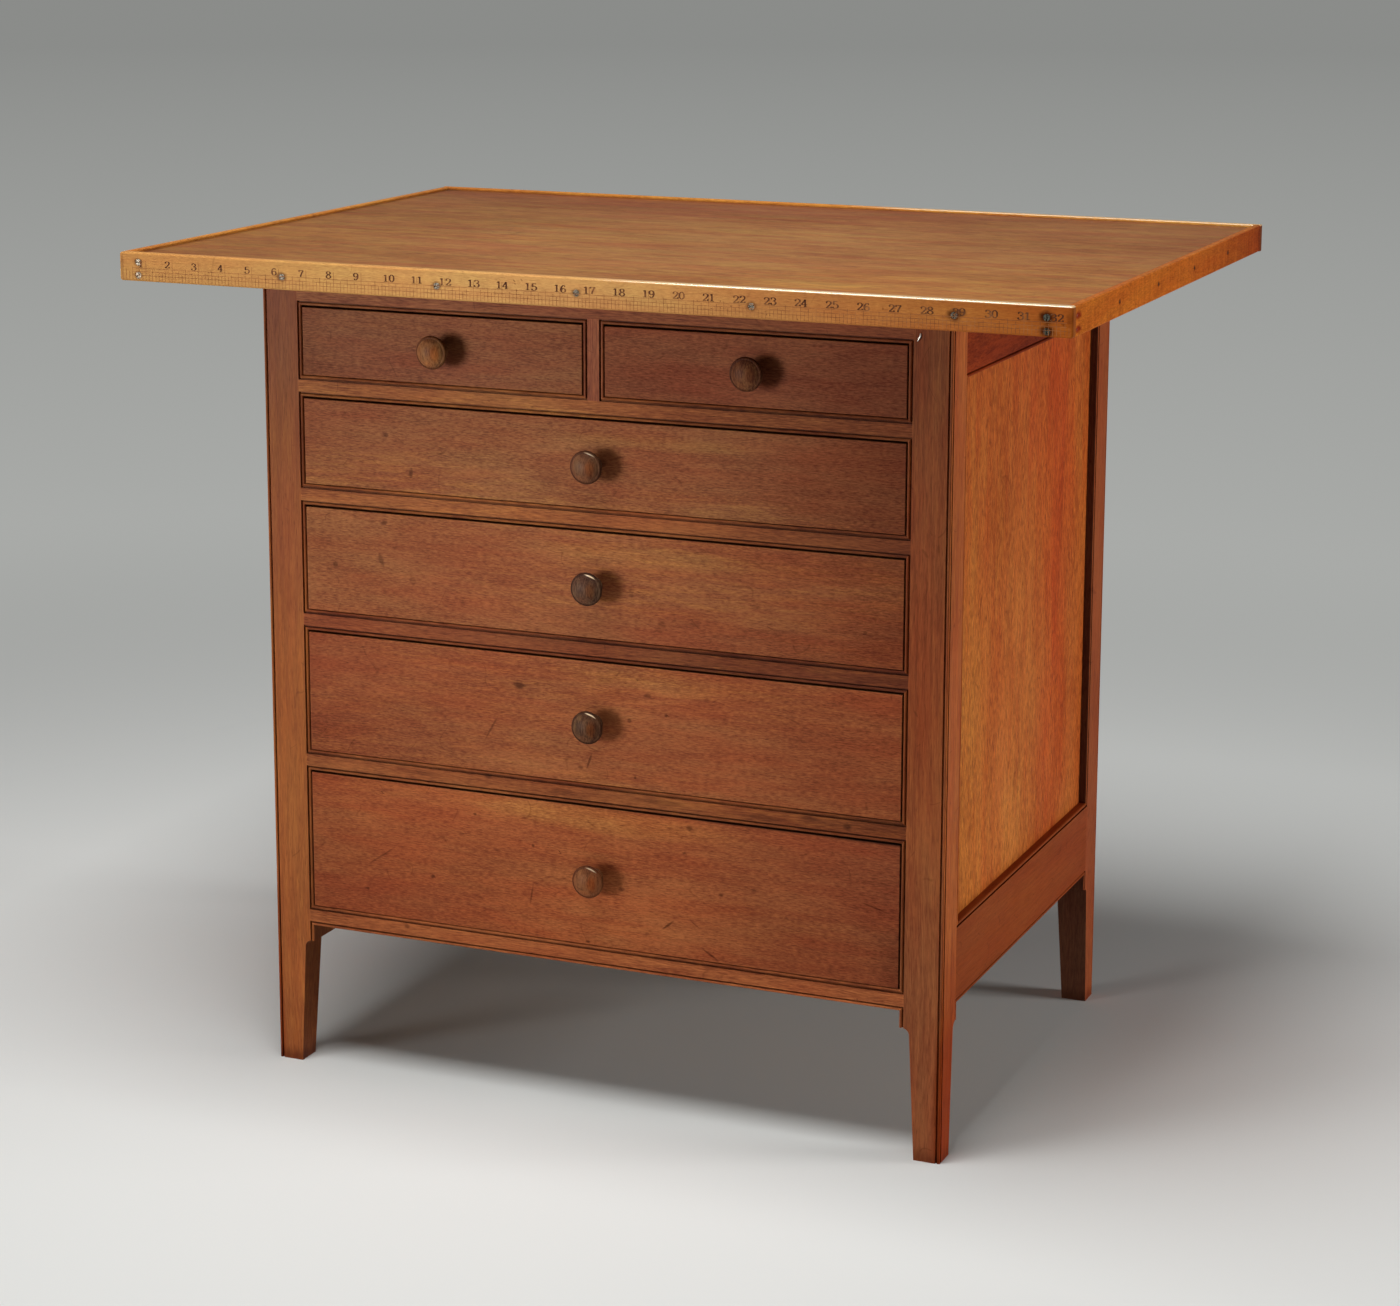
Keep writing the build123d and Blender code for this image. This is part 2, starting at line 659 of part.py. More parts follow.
# ---------------------------------------------------------------- drawers
@dataclass
class Drawer:
    """One drawer, known by the opening it fills."""
    label: str
    middle: float
    opening_width: float
    floor: float
    opening_height: float

    def __post_init__(self):
        self.width = self.opening_width - 2 * drawer_side_gap
        self.height = self.opening_height - drawer_under_gap - drawer_over_gap
        self.base = self.floor + drawer_under_gap
        self.side_top = self.base + self.height - side_top_drop
        self.bottom_top = self.base + bottom_rise + bottom_thickness
        self.back = back_rail_front - drawer_back_gap
        self.front_shoulder = case_front + front_thickness
        self.back_shoulder = self.back - back_thickness
        knob_place = (self.middle, case_front, self.base + self.height / 2)
        self.knob_seat = upright(knob_place, outer_face["front"])

    def side_planes(self):
        """The outer face of each side, and which way its wood goes."""
        return (
            (Plane.YZ.offset(self.middle - self.width / 2), 1),
            (Plane.YZ.offset(self.middle + self.width / 2), -1),
        )

    def sketch_tails(self, shoulder, tip, low):
        """A side's dovetails at one end, from their shoulder to their tips."""
        count = max(1, round((self.side_top - low) / tail_spacing))
        pitch = (self.side_top - low) / count
        tip_half = (pitch - pin_width) / 2
        root_half = tip_half - abs(tip - shoulder) * tail_slope
        for index in range(count):
            middle = low + (index + 0.5) * pitch
            Polygon(
                (shoulder, middle - root_half), (tip, middle - tip_half),
                (tip, middle + tip_half), (shoulder, middle + root_half), align=None,
            )

    def sketch_front_tails(self):
        self.sketch_tails(self.front_shoulder, case_front + front_lap, self.base)

    def sketch_back_tails(self):
        self.sketch_tails(self.back_shoulder, self.back, self.bottom_top)

    def sketch_side(self):
        """A side's outline: its lower part runs on under the back board."""
        Polygon(
            (self.front_shoulder, self.base), (self.back, self.base),
            (self.back, self.bottom_top), (self.back_shoulder, self.bottom_top),
            (self.back_shoulder, self.side_top), (self.front_shoulder, self.side_top), align=None,
        )
        self.sketch_front_tails()
        self.sketch_back_tails()

    def extrude_sides(self, sketch, mode):
        """Extrude one sketch at both sides, by the thickness of a side."""
        for plane, inward in self.side_planes():
            with BuildSketch(plane) as outline:
                sketch()
            extrude(outline.sketch, amount=inward * side_thickness, mode=mode)

    def add_bottom(self, reach, mode):
        """The bottom board, reaching this far into the front and the sides."""
        with Locations((self.middle, self.front_shoulder - reach, self.base + bottom_rise)):
            Box(
                self.width - 2 * side_thickness + 2 * reach,
                self.back - self.front_shoulder + reach, bottom_thickness,
                align=(Align.CENTER, Align.MIN, Align.MIN), mode=mode,
            )

    def save_front(self):
        with BuildPart() as front:
            with Locations((self.middle, case_front, self.base)):
                Box(
                    self.width, front_thickness, self.height,
                    align=(Align.CENTER, Align.MIN, Align.MIN),
                )
            fillet(front.faces().sort_by(Axis.Y)[0].edges(), front_edge_radius)
            self.add_bottom(bottom_groove_depth, Mode.SUBTRACT)
            self.extrude_sides(self.sketch_front_tails, Mode.SUBTRACT)
            with Locations(self.knob_seat):
                Hole(spigot_radius + joint_clearance, front_thickness)
        save(front, f"{self.label}_front")

    def save_sides(self):
        with BuildPart() as sides:
            self.extrude_sides(self.sketch_side, Mode.ADD)
            self.add_bottom(bottom_groove_depth, Mode.SUBTRACT)
        save(sides, f"{self.label}_sides")

    def save_back(self):
        with BuildPart() as back:
            with Locations((self.middle, self.back, self.bottom_top)):
                Box(
                    self.width, back_thickness, self.side_top - self.bottom_top,
                    align=(Align.CENTER, Align.MAX, Align.MIN),
                )
            self.extrude_sides(self.sketch_back_tails, Mode.SUBTRACT)
        save(back, f"{self.label}_back")

    def save_bottom(self):
        with BuildPart() as bottom:
            self.add_bottom(bottom_groove_depth - joint_end_gap, Mode.ADD)
        save(bottom, f"{self.label}_bottom")

    def save_knob(self):
        """A turned knob: a spigot through the front, a waisted neck and a low domed cap."""
        seat = self.knob_seat
        cap_edge = knob_length - knob_dome        # from the drawer's face to the rim's two edges
        cap_under = cap_edge - knob_rim
        cap_radius = knob_radius - knob_rim / 2
        dome_radius = (cap_radius ** 2 + knob_dome ** 2) / (2 * knob_dome)
        with BuildPart() as knob:
            with BuildSketch(Plane(origin=seat.origin, x_dir=seat.x_dir, z_dir=-seat.y_dir)) as half:
                with BuildLine():
                    Polyline(
                        (0, knob_length), (0, -front_thickness), (spigot_radius, -front_thickness),
                        (spigot_radius, 0), (knob_base_radius, 0),
                    )
                    ThreePointArc(
                        (knob_base_radius, 0), (knob_neck_radius, cap_under / 2),
                        (cap_radius, cap_under),
                    )
                    ThreePointArc(
                        (cap_radius, cap_under), (knob_radius, (cap_under + cap_edge) / 2),
                        (cap_radius, cap_edge),
                    )
                    RadiusArc((0, knob_length), (cap_radius, cap_edge), dome_radius)
                make_face()
            revolve(half.sketch, axis=Axis(seat.origin, seat.z_dir))
        save(knob, f"{self.label}_knob")

    def save_all(self):
        self.save_front()
        self.save_sides()
        self.save_back()
        self.save_bottom()
        self.save_knob()


openings = list(zip(opening_floors, opening_heights))
small_middle = (divider_width + small_opening_width) / 2
Drawer("top_left_drawer", -small_middle, small_opening_width, *openings[0]).save_all()
Drawer("top_right_drawer", small_middle, small_opening_width, *openings[0]).save_all()
wide_labels = ("second_drawer", "third_drawer", "fourth_drawer", "bottom_drawer")
for label, opening in zip(wide_labels, openings[1:]):
    Drawer(label, 0, opening_width, *opening).save_all()
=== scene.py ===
import math
import random

import bmesh
import bpy
from mathutils import Euler, Matrix, Vector


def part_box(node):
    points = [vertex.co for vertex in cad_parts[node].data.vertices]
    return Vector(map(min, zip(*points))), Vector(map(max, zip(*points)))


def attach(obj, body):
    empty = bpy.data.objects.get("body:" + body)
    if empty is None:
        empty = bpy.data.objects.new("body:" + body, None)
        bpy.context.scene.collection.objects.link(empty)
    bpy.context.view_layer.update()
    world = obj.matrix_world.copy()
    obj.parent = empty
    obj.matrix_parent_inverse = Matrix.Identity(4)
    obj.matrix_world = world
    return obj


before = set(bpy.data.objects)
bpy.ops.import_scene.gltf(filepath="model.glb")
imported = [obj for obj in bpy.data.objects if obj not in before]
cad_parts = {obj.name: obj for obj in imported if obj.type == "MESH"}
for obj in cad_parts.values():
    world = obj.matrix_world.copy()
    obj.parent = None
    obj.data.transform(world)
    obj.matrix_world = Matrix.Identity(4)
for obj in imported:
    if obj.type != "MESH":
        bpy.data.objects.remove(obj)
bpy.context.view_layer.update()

# Looks of a sewing desk: its CAD nodes get their materials, and the ruler its marks. Metres, in
# the part's own frame: the ruler faces -Y, +X is to its right, and the floor is at Z = 0.

MM = 0.001
INCH = 25.4 * MM
RULER_LOW, RULER_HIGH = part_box("ruler_strip")
TOP_LEFT, TOP_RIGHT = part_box("rim_left")[0].x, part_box("rim_right")[1].x
CASE_LOW, CASE_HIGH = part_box("post_front_left")[0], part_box("post_back_right")[1]
DRAWERS = (
    "top_left_drawer", "top_right_drawer", "second_drawer", "third_drawer", "fourth_drawer",
    "bottom_drawer",
)


# ---------------------------------------------------------------- building materials
class Graph:
    """A material, or the world, and the nodes that feed its shader."""

    def __init__(self, owner, shader="Principled BSDF"):
        owner.use_nodes = True
        self.owner = owner
        self.tree = owner.node_tree
        self.shader = self.tree.nodes[shader]

    def feed(self, socket, value):
        """Link a socket to another one, or set its value."""
        if isinstance(value, bpy.types.NodeSocket):
            self.tree.links.new(value, socket)
        elif isinstance(value, (tuple, list)) and len(value) == 3 and socket.type == "RGBA":
            socket.default_value = (*value, 1)
        else:
            socket.default_value = value

    def node(self, kind, inputs, **settings):
        """A new node, with its inputs by name or number."""
        node = self.tree.nodes.new("ShaderNode" + kind)
        for name, value in settings.items():
            setattr(node, name, value)
        for name, value in inputs.items():
            self.feed(node.inputs[name], value)
        return node

    def math(self, operation, *values, clamp=False):
        node = self.node("Math", {}, operation=operation, use_clamp=clamp)
        for socket, value in zip(node.inputs, values):
            self.feed(socket, value)
        return node.outputs[0]

    def place(self):
        """The point on the object, in the part's frame at rest."""
        return self.node("TexCoord", {}).outputs["Object"]

    def split(self, vector):
        return self.node("SeparateXYZ", {"Vector": vector}).outputs

    def join(self, x, y, z):
        return self.node("CombineXYZ", {"X": x, "Y": y, "Z": z}).outputs[0]

    def noise(self, vector, stretch=(1, 1, 1), detail=2.0, roughness=0.5):
        """Noise from 0 to 1; stretch is its number of features in a metre along each axis."""
        scaled = self.node("Mapping", {"Vector": vector, "Scale": stretch}).outputs[0]
        inputs = {"Vector": scaled, "Scale": 1, "Detail": detail, "Roughness": roughness}
        return self.node("TexNoise", inputs).outputs["Fac"]

    def remap(self, value, low, high, to_low=0.0, to_high=1.0, smooth=False):
        """The value with one range laid over another and held inside it."""
        inputs = {"Value": value, "From Min": low, "From Max": high, "To Min": to_low,
                  "To Max": to_high}
        kind = "SMOOTHSTEP" if smooth else "LINEAR"
        return self.node("MapRange", inputs, interpolation_type=kind).outputs[0]

    def mix(self, factor, first, second, blend="MIX"):
        node = self.node("Mix", {}, data_type="RGBA", blend_type=blend)
        self.feed(node.inputs[0], factor)
        self.feed(node.inputs[6], first)
        self.feed(node.inputs[7], second)
        return node.outputs[2]

    def spot(self, place, centre, radii, turn=0.0, soft=0.35, ragged=0.25):
        """1 inside a ragged ellipsoid, fading to 0 towards its surface."""
        inputs = {"Vector": place, "Location": centre, "Rotation": (0, turn, 0), "Scale": radii}
        local = self.node("Mapping", inputs, vector_type="TEXTURE").outputs[0]
        distance = self.node("VectorMath", {0: local}, operation="LENGTH").outputs["Value"]
        edge = self.centred(self.noise(local, (1.7, 1.7, 1.7), 2), ragged)
        return self.remap(self.math("ADD", distance, edge), soft, 1, 1, 0, smooth=True)

    def crevice(self, reach):
        """1 deep in the node's own grooves and inner corners, 0 on its open faces."""
        inputs = {"Distance": reach}
        node = self.node("AmbientOcclusion", inputs, samples=6, only_local=True)
        return self.remap(node.outputs["AO"], 0.45, 0.95, 1, 0)

    def arris(self, reach):
        """1 along the node's outer corners, 0 on its flat faces."""
        inputs = {"Distance": reach}
        node = self.node("AmbientOcclusion", inputs, samples=6, only_local=True, inside=True)
        return self.remap(node.outputs["AO"], 0.5, 0.9, 1, 0)

    def scratches(self, vector, scale, share):
        """Thin wandering lines, broken into short lengths, that cover more of it as share grows."""
        scaled = self.node("Mapping", {"Vector": vector, "Scale": scale}).outputs[0]
        height = self.noise(scaled, (1, 1, 1), 1)
        off_line = self.math("ABSOLUTE", self.math("SUBTRACT", height, 0.5))
        line = self.remap(off_line, 0.002, 0.008, 1, 0)
        broken = self.noise(scaled, (2.3, 2.3, 2.3), 2)
        start = 0.60 - 0.2 * share
        return self.math("MULTIPLY", line, self.remap(broken, start, start + 0.04))

    def looking(self, direction):
        """1 on the faces that look in a direction."""
        normal = self.node("TexCoord", {}).outputs["Normal"]
        towards = self.node("VectorMath", {0: normal, 1: direction}, operation="DOT_PRODUCT")
        return self.remap(towards.outputs["Value"], 0.6, 0.8)

    def tint(self, colour, factor, share=1.0):
        """The colour multiplied by a factor, where share is 1."""
        return self.mix(share, colour, factor, "MULTIPLY")

    def centred(self, value, amount):
        """A noise value made to swing about 0 by the amount."""
        return self.math("MULTIPLY", self.math("SUBTRACT", value, 0.5), 2 * amount)

    def specks(self, vector, scale, size, share):
        """Small ragged marks: about scale cells in a metre, that share of which have a mark, and
        a mark's size as a share of its cell."""
        scaled = self.node("Mapping", {"Vector": vector, "Scale": scale}).outputs[0]
        cells = self.node("TexVoronoi", {"Vector": scaled, "Scale": 1}).outputs
        chance, bigness, depth = self.split(cells["Color"])
        edge = self.centred(self.noise(scaled, (9, 9, 9), 2), size)
        limit = self.math("ADD", self.remap(bigness, 0, 1, 0.4 * size, 1.3 * size), edge)
        near = self.remap(self.math("DIVIDE", cells["Distance"], limit), 0.4, 1, 1, 0, smooth=True)
        strength = self.math("MULTIPLY", near, self.remap(depth, 0, 1, 0.3, 1))
        return self.math("MULTIPLY", self.math("LESS_THAN", chance, share), strength)

    def trend(self, value, low, high, colours):
        """Colours spread evenly over a range of the value."""
        ramp = self.node("ValToRGB", {"Fac": self.remap(value, low, high)})
        stops = ramp.color_ramp.elements
        while len(stops) < len(colours):
            stops.new(0.5)
        for index, colour in enumerate(colours):
            stops[index].position = index / (len(colours) - 1)
            stops[index].color = (*colour, 1)
        return ramp.outputs[0]

    def finish(self, colour, roughness, bump=None, bump_depth=0.0, shader=None):
        self.feed(self.shader.inputs["Base Color"], colour)
        self.feed(self.shader.inputs["Roughness"], roughness)
        if bump is not None:
            inputs = {"Height": bump, "Strength": 1, "Distance": bump_depth}
            normal = self.node("Bump", inputs).outputs[0]
            self.feed(self.shader.inputs["Normal"], normal)
        for name, value in (shader or {}).items():
            self.feed(self.shader.inputs[name], value)
        return self.owner


def new_graph(name):
    """The graph of a new material."""
    return Graph(bpy.data.materials.new(name))


# How many features a metre of wood has in each layer of its figure: along, across and through it.
FIBRE = (190, 1000, 1000)
STREAK = (36, 280, 280)
BAND = (5, 50, 50)
BLOTCH = (6, 12, 12)
CURL = (190, 14, 14)
WANDER = (1.6, 4, 4)
WARMTH = (9, 55, 55)
GOLDEN_ZONE = (2.2, 13, 13)
GOLDEN_LINE = (40, 420, 420)
RUDDY_ZONE = (2.6, 9, 9)
PORE = (130, 1100, 1100)
DOT = (34, 60, 60)
NICK = (9, 16, 16)
SCRATCH = (19, 27, 23)

# What each kind of streak, mark or wear multiplies the wood's colour by.
GOLDEN_TINT = (1.34, 1.52, 1.22)
RUDDY_TINT = (0.96, 0.74, 0.78)
PORE_TINT = (0.45, 0.40, 0.42)
SPECK_TINT = (0.35, 0.30, 0.32)
SCRATCH_TINT = (0.55, 0.48, 0.46)
WORN_TINT = (1.5, 1.55, 1.45)
GROOVE_TINT = (0.30, 0.24, 0.22)
# The last one darkens both grime and the painted shade that some dirt functions give.
DIRT_AND_SHADE_TINT = (0.50, 0.40, 0.38)

SEED_STEP = 1.37               # metres along the grain between the figures of two seeds
WANDER_WIDTH = 12 * MM         # how far the grain wanders across a board
WEAR_REACH = 1.5 * MM
GROOVE_REACH = 3.5 * MM
GRAIN_DEPTH = 0.05 * MM


def lay_figure(graph, board, contrast, fibres, streaks, bands, blotches, curl, reach):
    """The figure as a tint, then its fibres and its blotches as values from 0 to 1."""
    fibre = graph.noise(board, (FIBRE[0] / reach, *FIBRE[1:]), 2, 0.65)
    streak = graph.noise(board, (STREAK[0] / reach, *STREAK[1:]), 3, 0.6)
    band = graph.noise(board, BAND, 3)
    blotch = graph.noise(board, BLOTCH, 4, 0.6)
    tone = 0.5
    for layer, amount in ((fibre, fibres), (streak, streaks), (band, bands), (blotch, blotches)):
        tone = graph.math("ADD", graph.centred(layer, amount), tone)
    if curl:
        wave = graph.noise(board, CURL, 2)
        tone = graph.math("ADD", graph.centred(wave, curl), tone)
    tone = graph.math("MINIMUM", graph.math("MAXIMUM", tone, 0), 1)
    pale = (1 + contrast, 1 + 1.4 * contrast, 1 + 1.1 * contrast)
    deep = (1 - contrast, 1 - 1.2 * contrast, 1 - 1.1 * contrast)
    return graph.mix(tone, pale, deep), fibre, blotch


def vary_hue(graph, colour, board, straight, hues, golden, ruddy):
    """Yellower and redder streaks, fine golden lines and ruddy zones."""
    redness = graph.remap(graph.noise(board, WARMTH, 4, 0.6), 0.36, 0.64)
    yellower = (1 + 0.3 * hues, 1 + hues, 1 + hues)
    redder = (1 - 0.1 * hues, 1 - hues, 1 - hues)
    colour = graph.tint(colour, graph.mix(redness, yellower, redder))
    zone = graph.remap(graph.noise(board, GOLDEN_ZONE, 2), 0.48, 0.66)
    line = graph.remap(graph.noise(board, GOLDEN_LINE, 2), 0.45, 0.65)
    share = graph.math("MULTIPLY", graph.math("MULTIPLY", zone, line), golden)
    colour = graph.tint(colour, GOLDEN_TINT, share)
    zone = graph.remap(graph.noise(straight, RUDDY_ZONE, 3), 0.50, 0.68)
    return graph.tint(colour, RUDDY_TINT, graph.math("MULTIPLY", zone, ruddy))


def add_marks(graph, colour, place, grain, board, specks, spots, scratches):
    """Small dark marks, the spots given and thin dark scratches."""
    dots = graph.specks(board, DOT, size=0.13, share=0.35)
    nicks = graph.specks(grain, NICK, size=0.07, share=0.5)
    mark = graph.math("MULTIPLY", graph.math("MAXIMUM", dots, nicks), specks)
    colour = graph.tint(colour, SPECK_TINT, mark)
    for centre, radii, turn, strength, stain in spots:
        share = graph.math("MULTIPLY", graph.spot(place, centre, radii, turn), strength)
        colour = graph.tint(colour, stain, share)
    if scratches:
        lines = graph.scratches(grain, SCRATCH, share=0.2)
        colour = graph.tint(colour, SCRATCH_TINT, graph.math("MULTIPLY", lines, scratches))
    return colour


def age(graph, colour, parts, blotch, wear, grime, dirt_and_shade):
    """Paler corners, dark grooves, and the places that dirt_and_shade darkens, with grime and with
    painted shade.
    """
    if wear:
        patchy = graph.remap(blotch, 0.35, 0.6, 0.3, 1)
        worn = graph.math("MULTIPLY", graph.arris(WEAR_REACH), patchy)
        colour = graph.tint(colour, WORN_TINT, graph.math("MULTIPLY", worn, wear))
    if grime:
        deep = graph.math("MULTIPLY", graph.crevice(GROOVE_REACH), grime)
        colour = graph.tint(colour, GROOVE_TINT, deep)
    if dirt_and_shade:
        colour = graph.tint(colour, DIRT_AND_SHADE_TINT, dirt_and_shade(graph, parts, blotch))
    return colour


def wood(
    name, axes, colours, seed, span=None, contrast=0.34, fibres=1.1, streaks=0.5, bands=0.3,
    blotches=0.5, hues=0.10, golden=0.5, ruddy=0.5, curl=0.0, pores=0.4, specks=0.3, roughness=0.5,
    gloss=0.08, spots=(), flanks=(), polish=None, coat=1.5, grime=0.6, reach=1.0, dirt_and_shade=None,
    wear=0.5, scratches=0.5, painted_highlight=None,
):
    """Old oiled wood.

    axes: the axes along the grain, across the board's face and through it.
    colours, span: its average colours, and where along the grain they are spread.
    flanks: directions, and the average colours of the faces that look that way.
    contrast: how far its dark and pale parts are apart; fibres, streaks, bands, blotches and curl
    are how strongly each layer shows in them. reach makes fibres and streaks longer.
    hues, golden, ruddy, pores, specks, scratches: how strongly those show.
    spots: marks, each a centre, radii, turn, strength and stain.
    wear, grime, dirt_and_shade: how pale its corners and how dark its grooves are, and where else
    it is dirty, and where painted shade darkens it.
    polish, coat, painted_highlight: where hands have polished it, the polish's index of refraction,
    and the pale colour painted there as a highlight."""
    graph = new_graph(name)
    place = graph.place()
    parts = dict(zip("XYZ", graph.split(place)))
    along, across, through = (parts[axis] for axis in axes)
    grain = graph.join(along, across, through)
    shifted = graph.math("ADD", along, seed * SEED_STEP)
    straight = graph.join(shifted, across, through)
    wander = graph.centred(graph.noise(straight, WANDER, 2), WANDER_WIDTH)
    board = graph.join(shifted, graph.math("ADD", across, wander), through)

    average = colours[0] if span is None else graph.trend(along, *span, colours)
    for direction, flank in flanks:
        average = graph.mix(graph.looking(direction), average, flank)
    figure, fibre, blotch = lay_figure(
        graph, board, contrast, fibres, streaks, bands, blotches, curl, reach
    )
    colour = graph.tint(figure, average)
    colour = vary_hue(graph, colour, board, straight, hues, golden, ruddy)
    pore = graph.remap(graph.noise(board, PORE, 1), 0.60, 0.72)
    colour = graph.tint(colour, PORE_TINT, graph.math("MULTIPLY", pore, pores))
    colour = add_marks(graph, colour, place, grain, board, specks, spots, scratches)
    colour = age(graph, colour, parts, blotch, wear, grime, dirt_and_shade)

    rough = graph.math("ADD", graph.centred(blotch, 0.10), roughness)
    rough = graph.math("ADD", rough, graph.centred(fibre, 0.06))
    height = graph.math("SUBTRACT", fibre, graph.math("MULTIPLY", pore, 0.8))
    shader = {"Specular IOR Level": gloss}
    if polish:
        polished = polish(graph, parts)
        # Painted highlight: the polished parts take the pale colour given, in place of the highlight
        # there.
        if painted_highlight:
            colour = graph.mix(polished, colour, painted_highlight)
        rough = graph.math("SUBTRACT", rough, graph.math("MULTIPLY", polished, 0.2))
        shader.update({"Coat Weight": polished, "Coat Roughness": 0.07, "Coat IOR": coat})
    return graph.finish(colour, rough, height, GRAIN_DEPTH, shader)


def dress(node, material):
    """Give a CAD node its material in every one of its slots."""
    for material_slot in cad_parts[node].material_slots:
        material_slot.material = material


# ---------------------------------------------------------------- woods of the case
FRONT, LEFT, RIGHT = Vector((0, -1, 0)), Vector((-1, 0, 0)), Vector((1, 0, 0))
UP, DOWN = Vector((0, 0, 1)), Vector((0, 0, -1))
# Painted shade: faces inside the gaps round the drawers get this dark colour in place of the shade
# there.
GAP_SHADE_FACE = (0.100, 0.034, 0.013)       # faces that the gaps round the drawers hide

# What a mark multiplies the wood's colour by.
DIRT = (0.35, 0.30, 0.30)
FAINT_DIRT = (0.62, 0.56, 0.56)
GOLD = (1.22, 1.55, 1.30)
RUDDY = (0.92, 0.78, 0.85)
# GAP_SHADE is painted shade: a dark band that stands in for a wide shaded gap.
GAP_SHADE = (0.10, 0.08, 0.08)

MARK_DEPTH = 15 * MM           # how deep the marks on the case's front go


def front_mark(x, z, wide, high, strength=0.7, turn=0, stain=DIRT):
    """A mark on the case's front: its centre and radii in millimetres, and its turn in degrees."""
    centre = (x * MM, CASE_LOW.y, z * MM)
    return centre, (wide * MM, MARK_DEPTH, high * MM), math.radians(turn), strength, stain


def opening_dirt(graph, parts, blotch):
    """Dirt and painted shade on the beads round the drawers."""
    nearest = 1.0
    for drawer in DRAWERS:
        low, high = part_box(drawer + "_front")
        middle, half = (low + high) / 2, (high - low) / 2
        gaps = []
        for axis, centre, size in (("X", middle.x, half.x), ("Z", middle.z, half.z)):
            offset = graph.math("ABSOLUTE", graph.math("SUBTRACT", parts[axis], centre))
            gaps.append(graph.math("SUBTRACT", offset, size))
        nearest = graph.math("MINIMUM", nearest, graph.math("MAXIMUM", *gaps))
    share = graph.remap(nearest, 3.5 * MM, 6.5 * MM, 1, 0, smooth=True)
    return graph.math("MULTIPLY", share, graph.remap(blotch, 0.35, 0.65, 0.15, 0.75))


def post_dirt(graph, parts, blotch):
    """Dirt and painted shade round the drawers, and grime at the posts' feet."""
    foot = graph.remap(parts["Z"], 2 * MM, 14 * MM, 1.0, 0, smooth=True)
    foot = graph.math("MULTIPLY", foot, graph.remap(blotch, 0.35, 0.6, 0.3, 1.0))
    return graph.math("MAXIMUM", foot, opening_dirt(graph, parts, blotch))


FRONT_COLOURS = {      # each drawer front's left, middle and right
    "top_left_drawer": ((0.143, 0.0440, 0.0170), (0.165, 0.0530, 0.0220), (0.160, 0.0495, 0.0195)),
    "top_right_drawer": ((0.151, 0.0425, 0.0165), (0.144, 0.0405, 0.0165), (0.117, 0.0330, 0.0134)),
    "second_drawer": ((0.170, 0.0500, 0.0185), (0.204, 0.0710, 0.0265), (0.112, 0.0288, 0.0108)),
    "third_drawer": ((0.200, 0.0625, 0.0218), (0.203, 0.0600, 0.0225), (0.137, 0.0348, 0.0125)),
    "fourth_drawer": ((0.184, 0.0450, 0.0162), (0.224, 0.0660, 0.0240), (0.188, 0.0462, 0.0162)),
    "bottom_drawer": ((0.220, 0.0560, 0.0190), (0.270, 0.0715, 0.0235), (0.181, 0.0435, 0.0167)),
}
FRONT_MARKS = {
    "top_left_drawer": (),
    "top_right_drawer": (),
    "second_drawer": (
        front_mark(-189.6, 561.7, 3.2, 2.6), front_mark(-166.8, 531.2, 2.6, 5.5, 0.8, 10),
        front_mark(60, 572, 110, 8, 0.6, 0, GOLD),
    ),
    "third_drawer": (
        front_mark(-192.7, 487.2, 5, 2.4, 0.6, -20), front_mark(-239.9, 447.4, 3.4, 3),
        front_mark(-196, 454.5, 3.2, 7.5, 0.65, -20),
        front_mark(60, 478, 150, 12, 0.6, 0, GOLD),
        front_mark(33, 447, 3, 6, 0.4),
    ),
    "fourth_drawer": (
        front_mark(-12.8, 295.7, 3.5, 2.5, 0.6), front_mark(31.4, 340.4, 2.6, 2.6),
        # The second mark below is painted shade: a long dark band for the shaded gap above this front.
        front_mark(70, 375, 130, 14, 0.5, 0, GOLD), front_mark(180, 388, 380, 1.7, 1.0, 0, GAP_SHADE),
        front_mark(-5, 302, 1.5, 9, 0.8, 20), front_mark(-95, 320, 1.3, 16, 0.6, 30),
    ),
    "bottom_drawer": (
        front_mark(84.7, 255.1, 4.2, 3.2, 0.8), front_mark(89.8, 173.8, 7, 1.0, 0.6, 35),
        # The second mark below is painted shade: a long dark band for the shaded gap above this front.
        front_mark(10, 252, 160, 15, 0.8, 0, GOLD), front_mark(285, 265, 420, 4.5, 1.0, 0, GAP_SHADE),
        front_mark(282, 158, 45, 50, 0.6, 0, FAINT_DIRT),
        front_mark(-170, 160, 130, 30, 0.5, 0, RUDDY),
        front_mark(-58.7, 180, 1.2, 12, 0.7, 10), front_mark(103, 150, 11, 1.3, 0.9, 30),
        front_mark(245, 209, 15, 1.2, 0.7, 15), front_mark(66, 170, 9, 1.4, 0.9, -40),
        front_mark(-111, 244, 2.2, 1.4, 0.9), front_mark(-57, 223, 2.0, 2.0, 0.9),
        front_mark(113, 202, 3.0, 1.4, 0.9), front_mark(-7, 146, 3.0, 1.4, 0.9),
        front_mark(-201, 196, 22, 1.2, 0.6, -35),
    ),
}
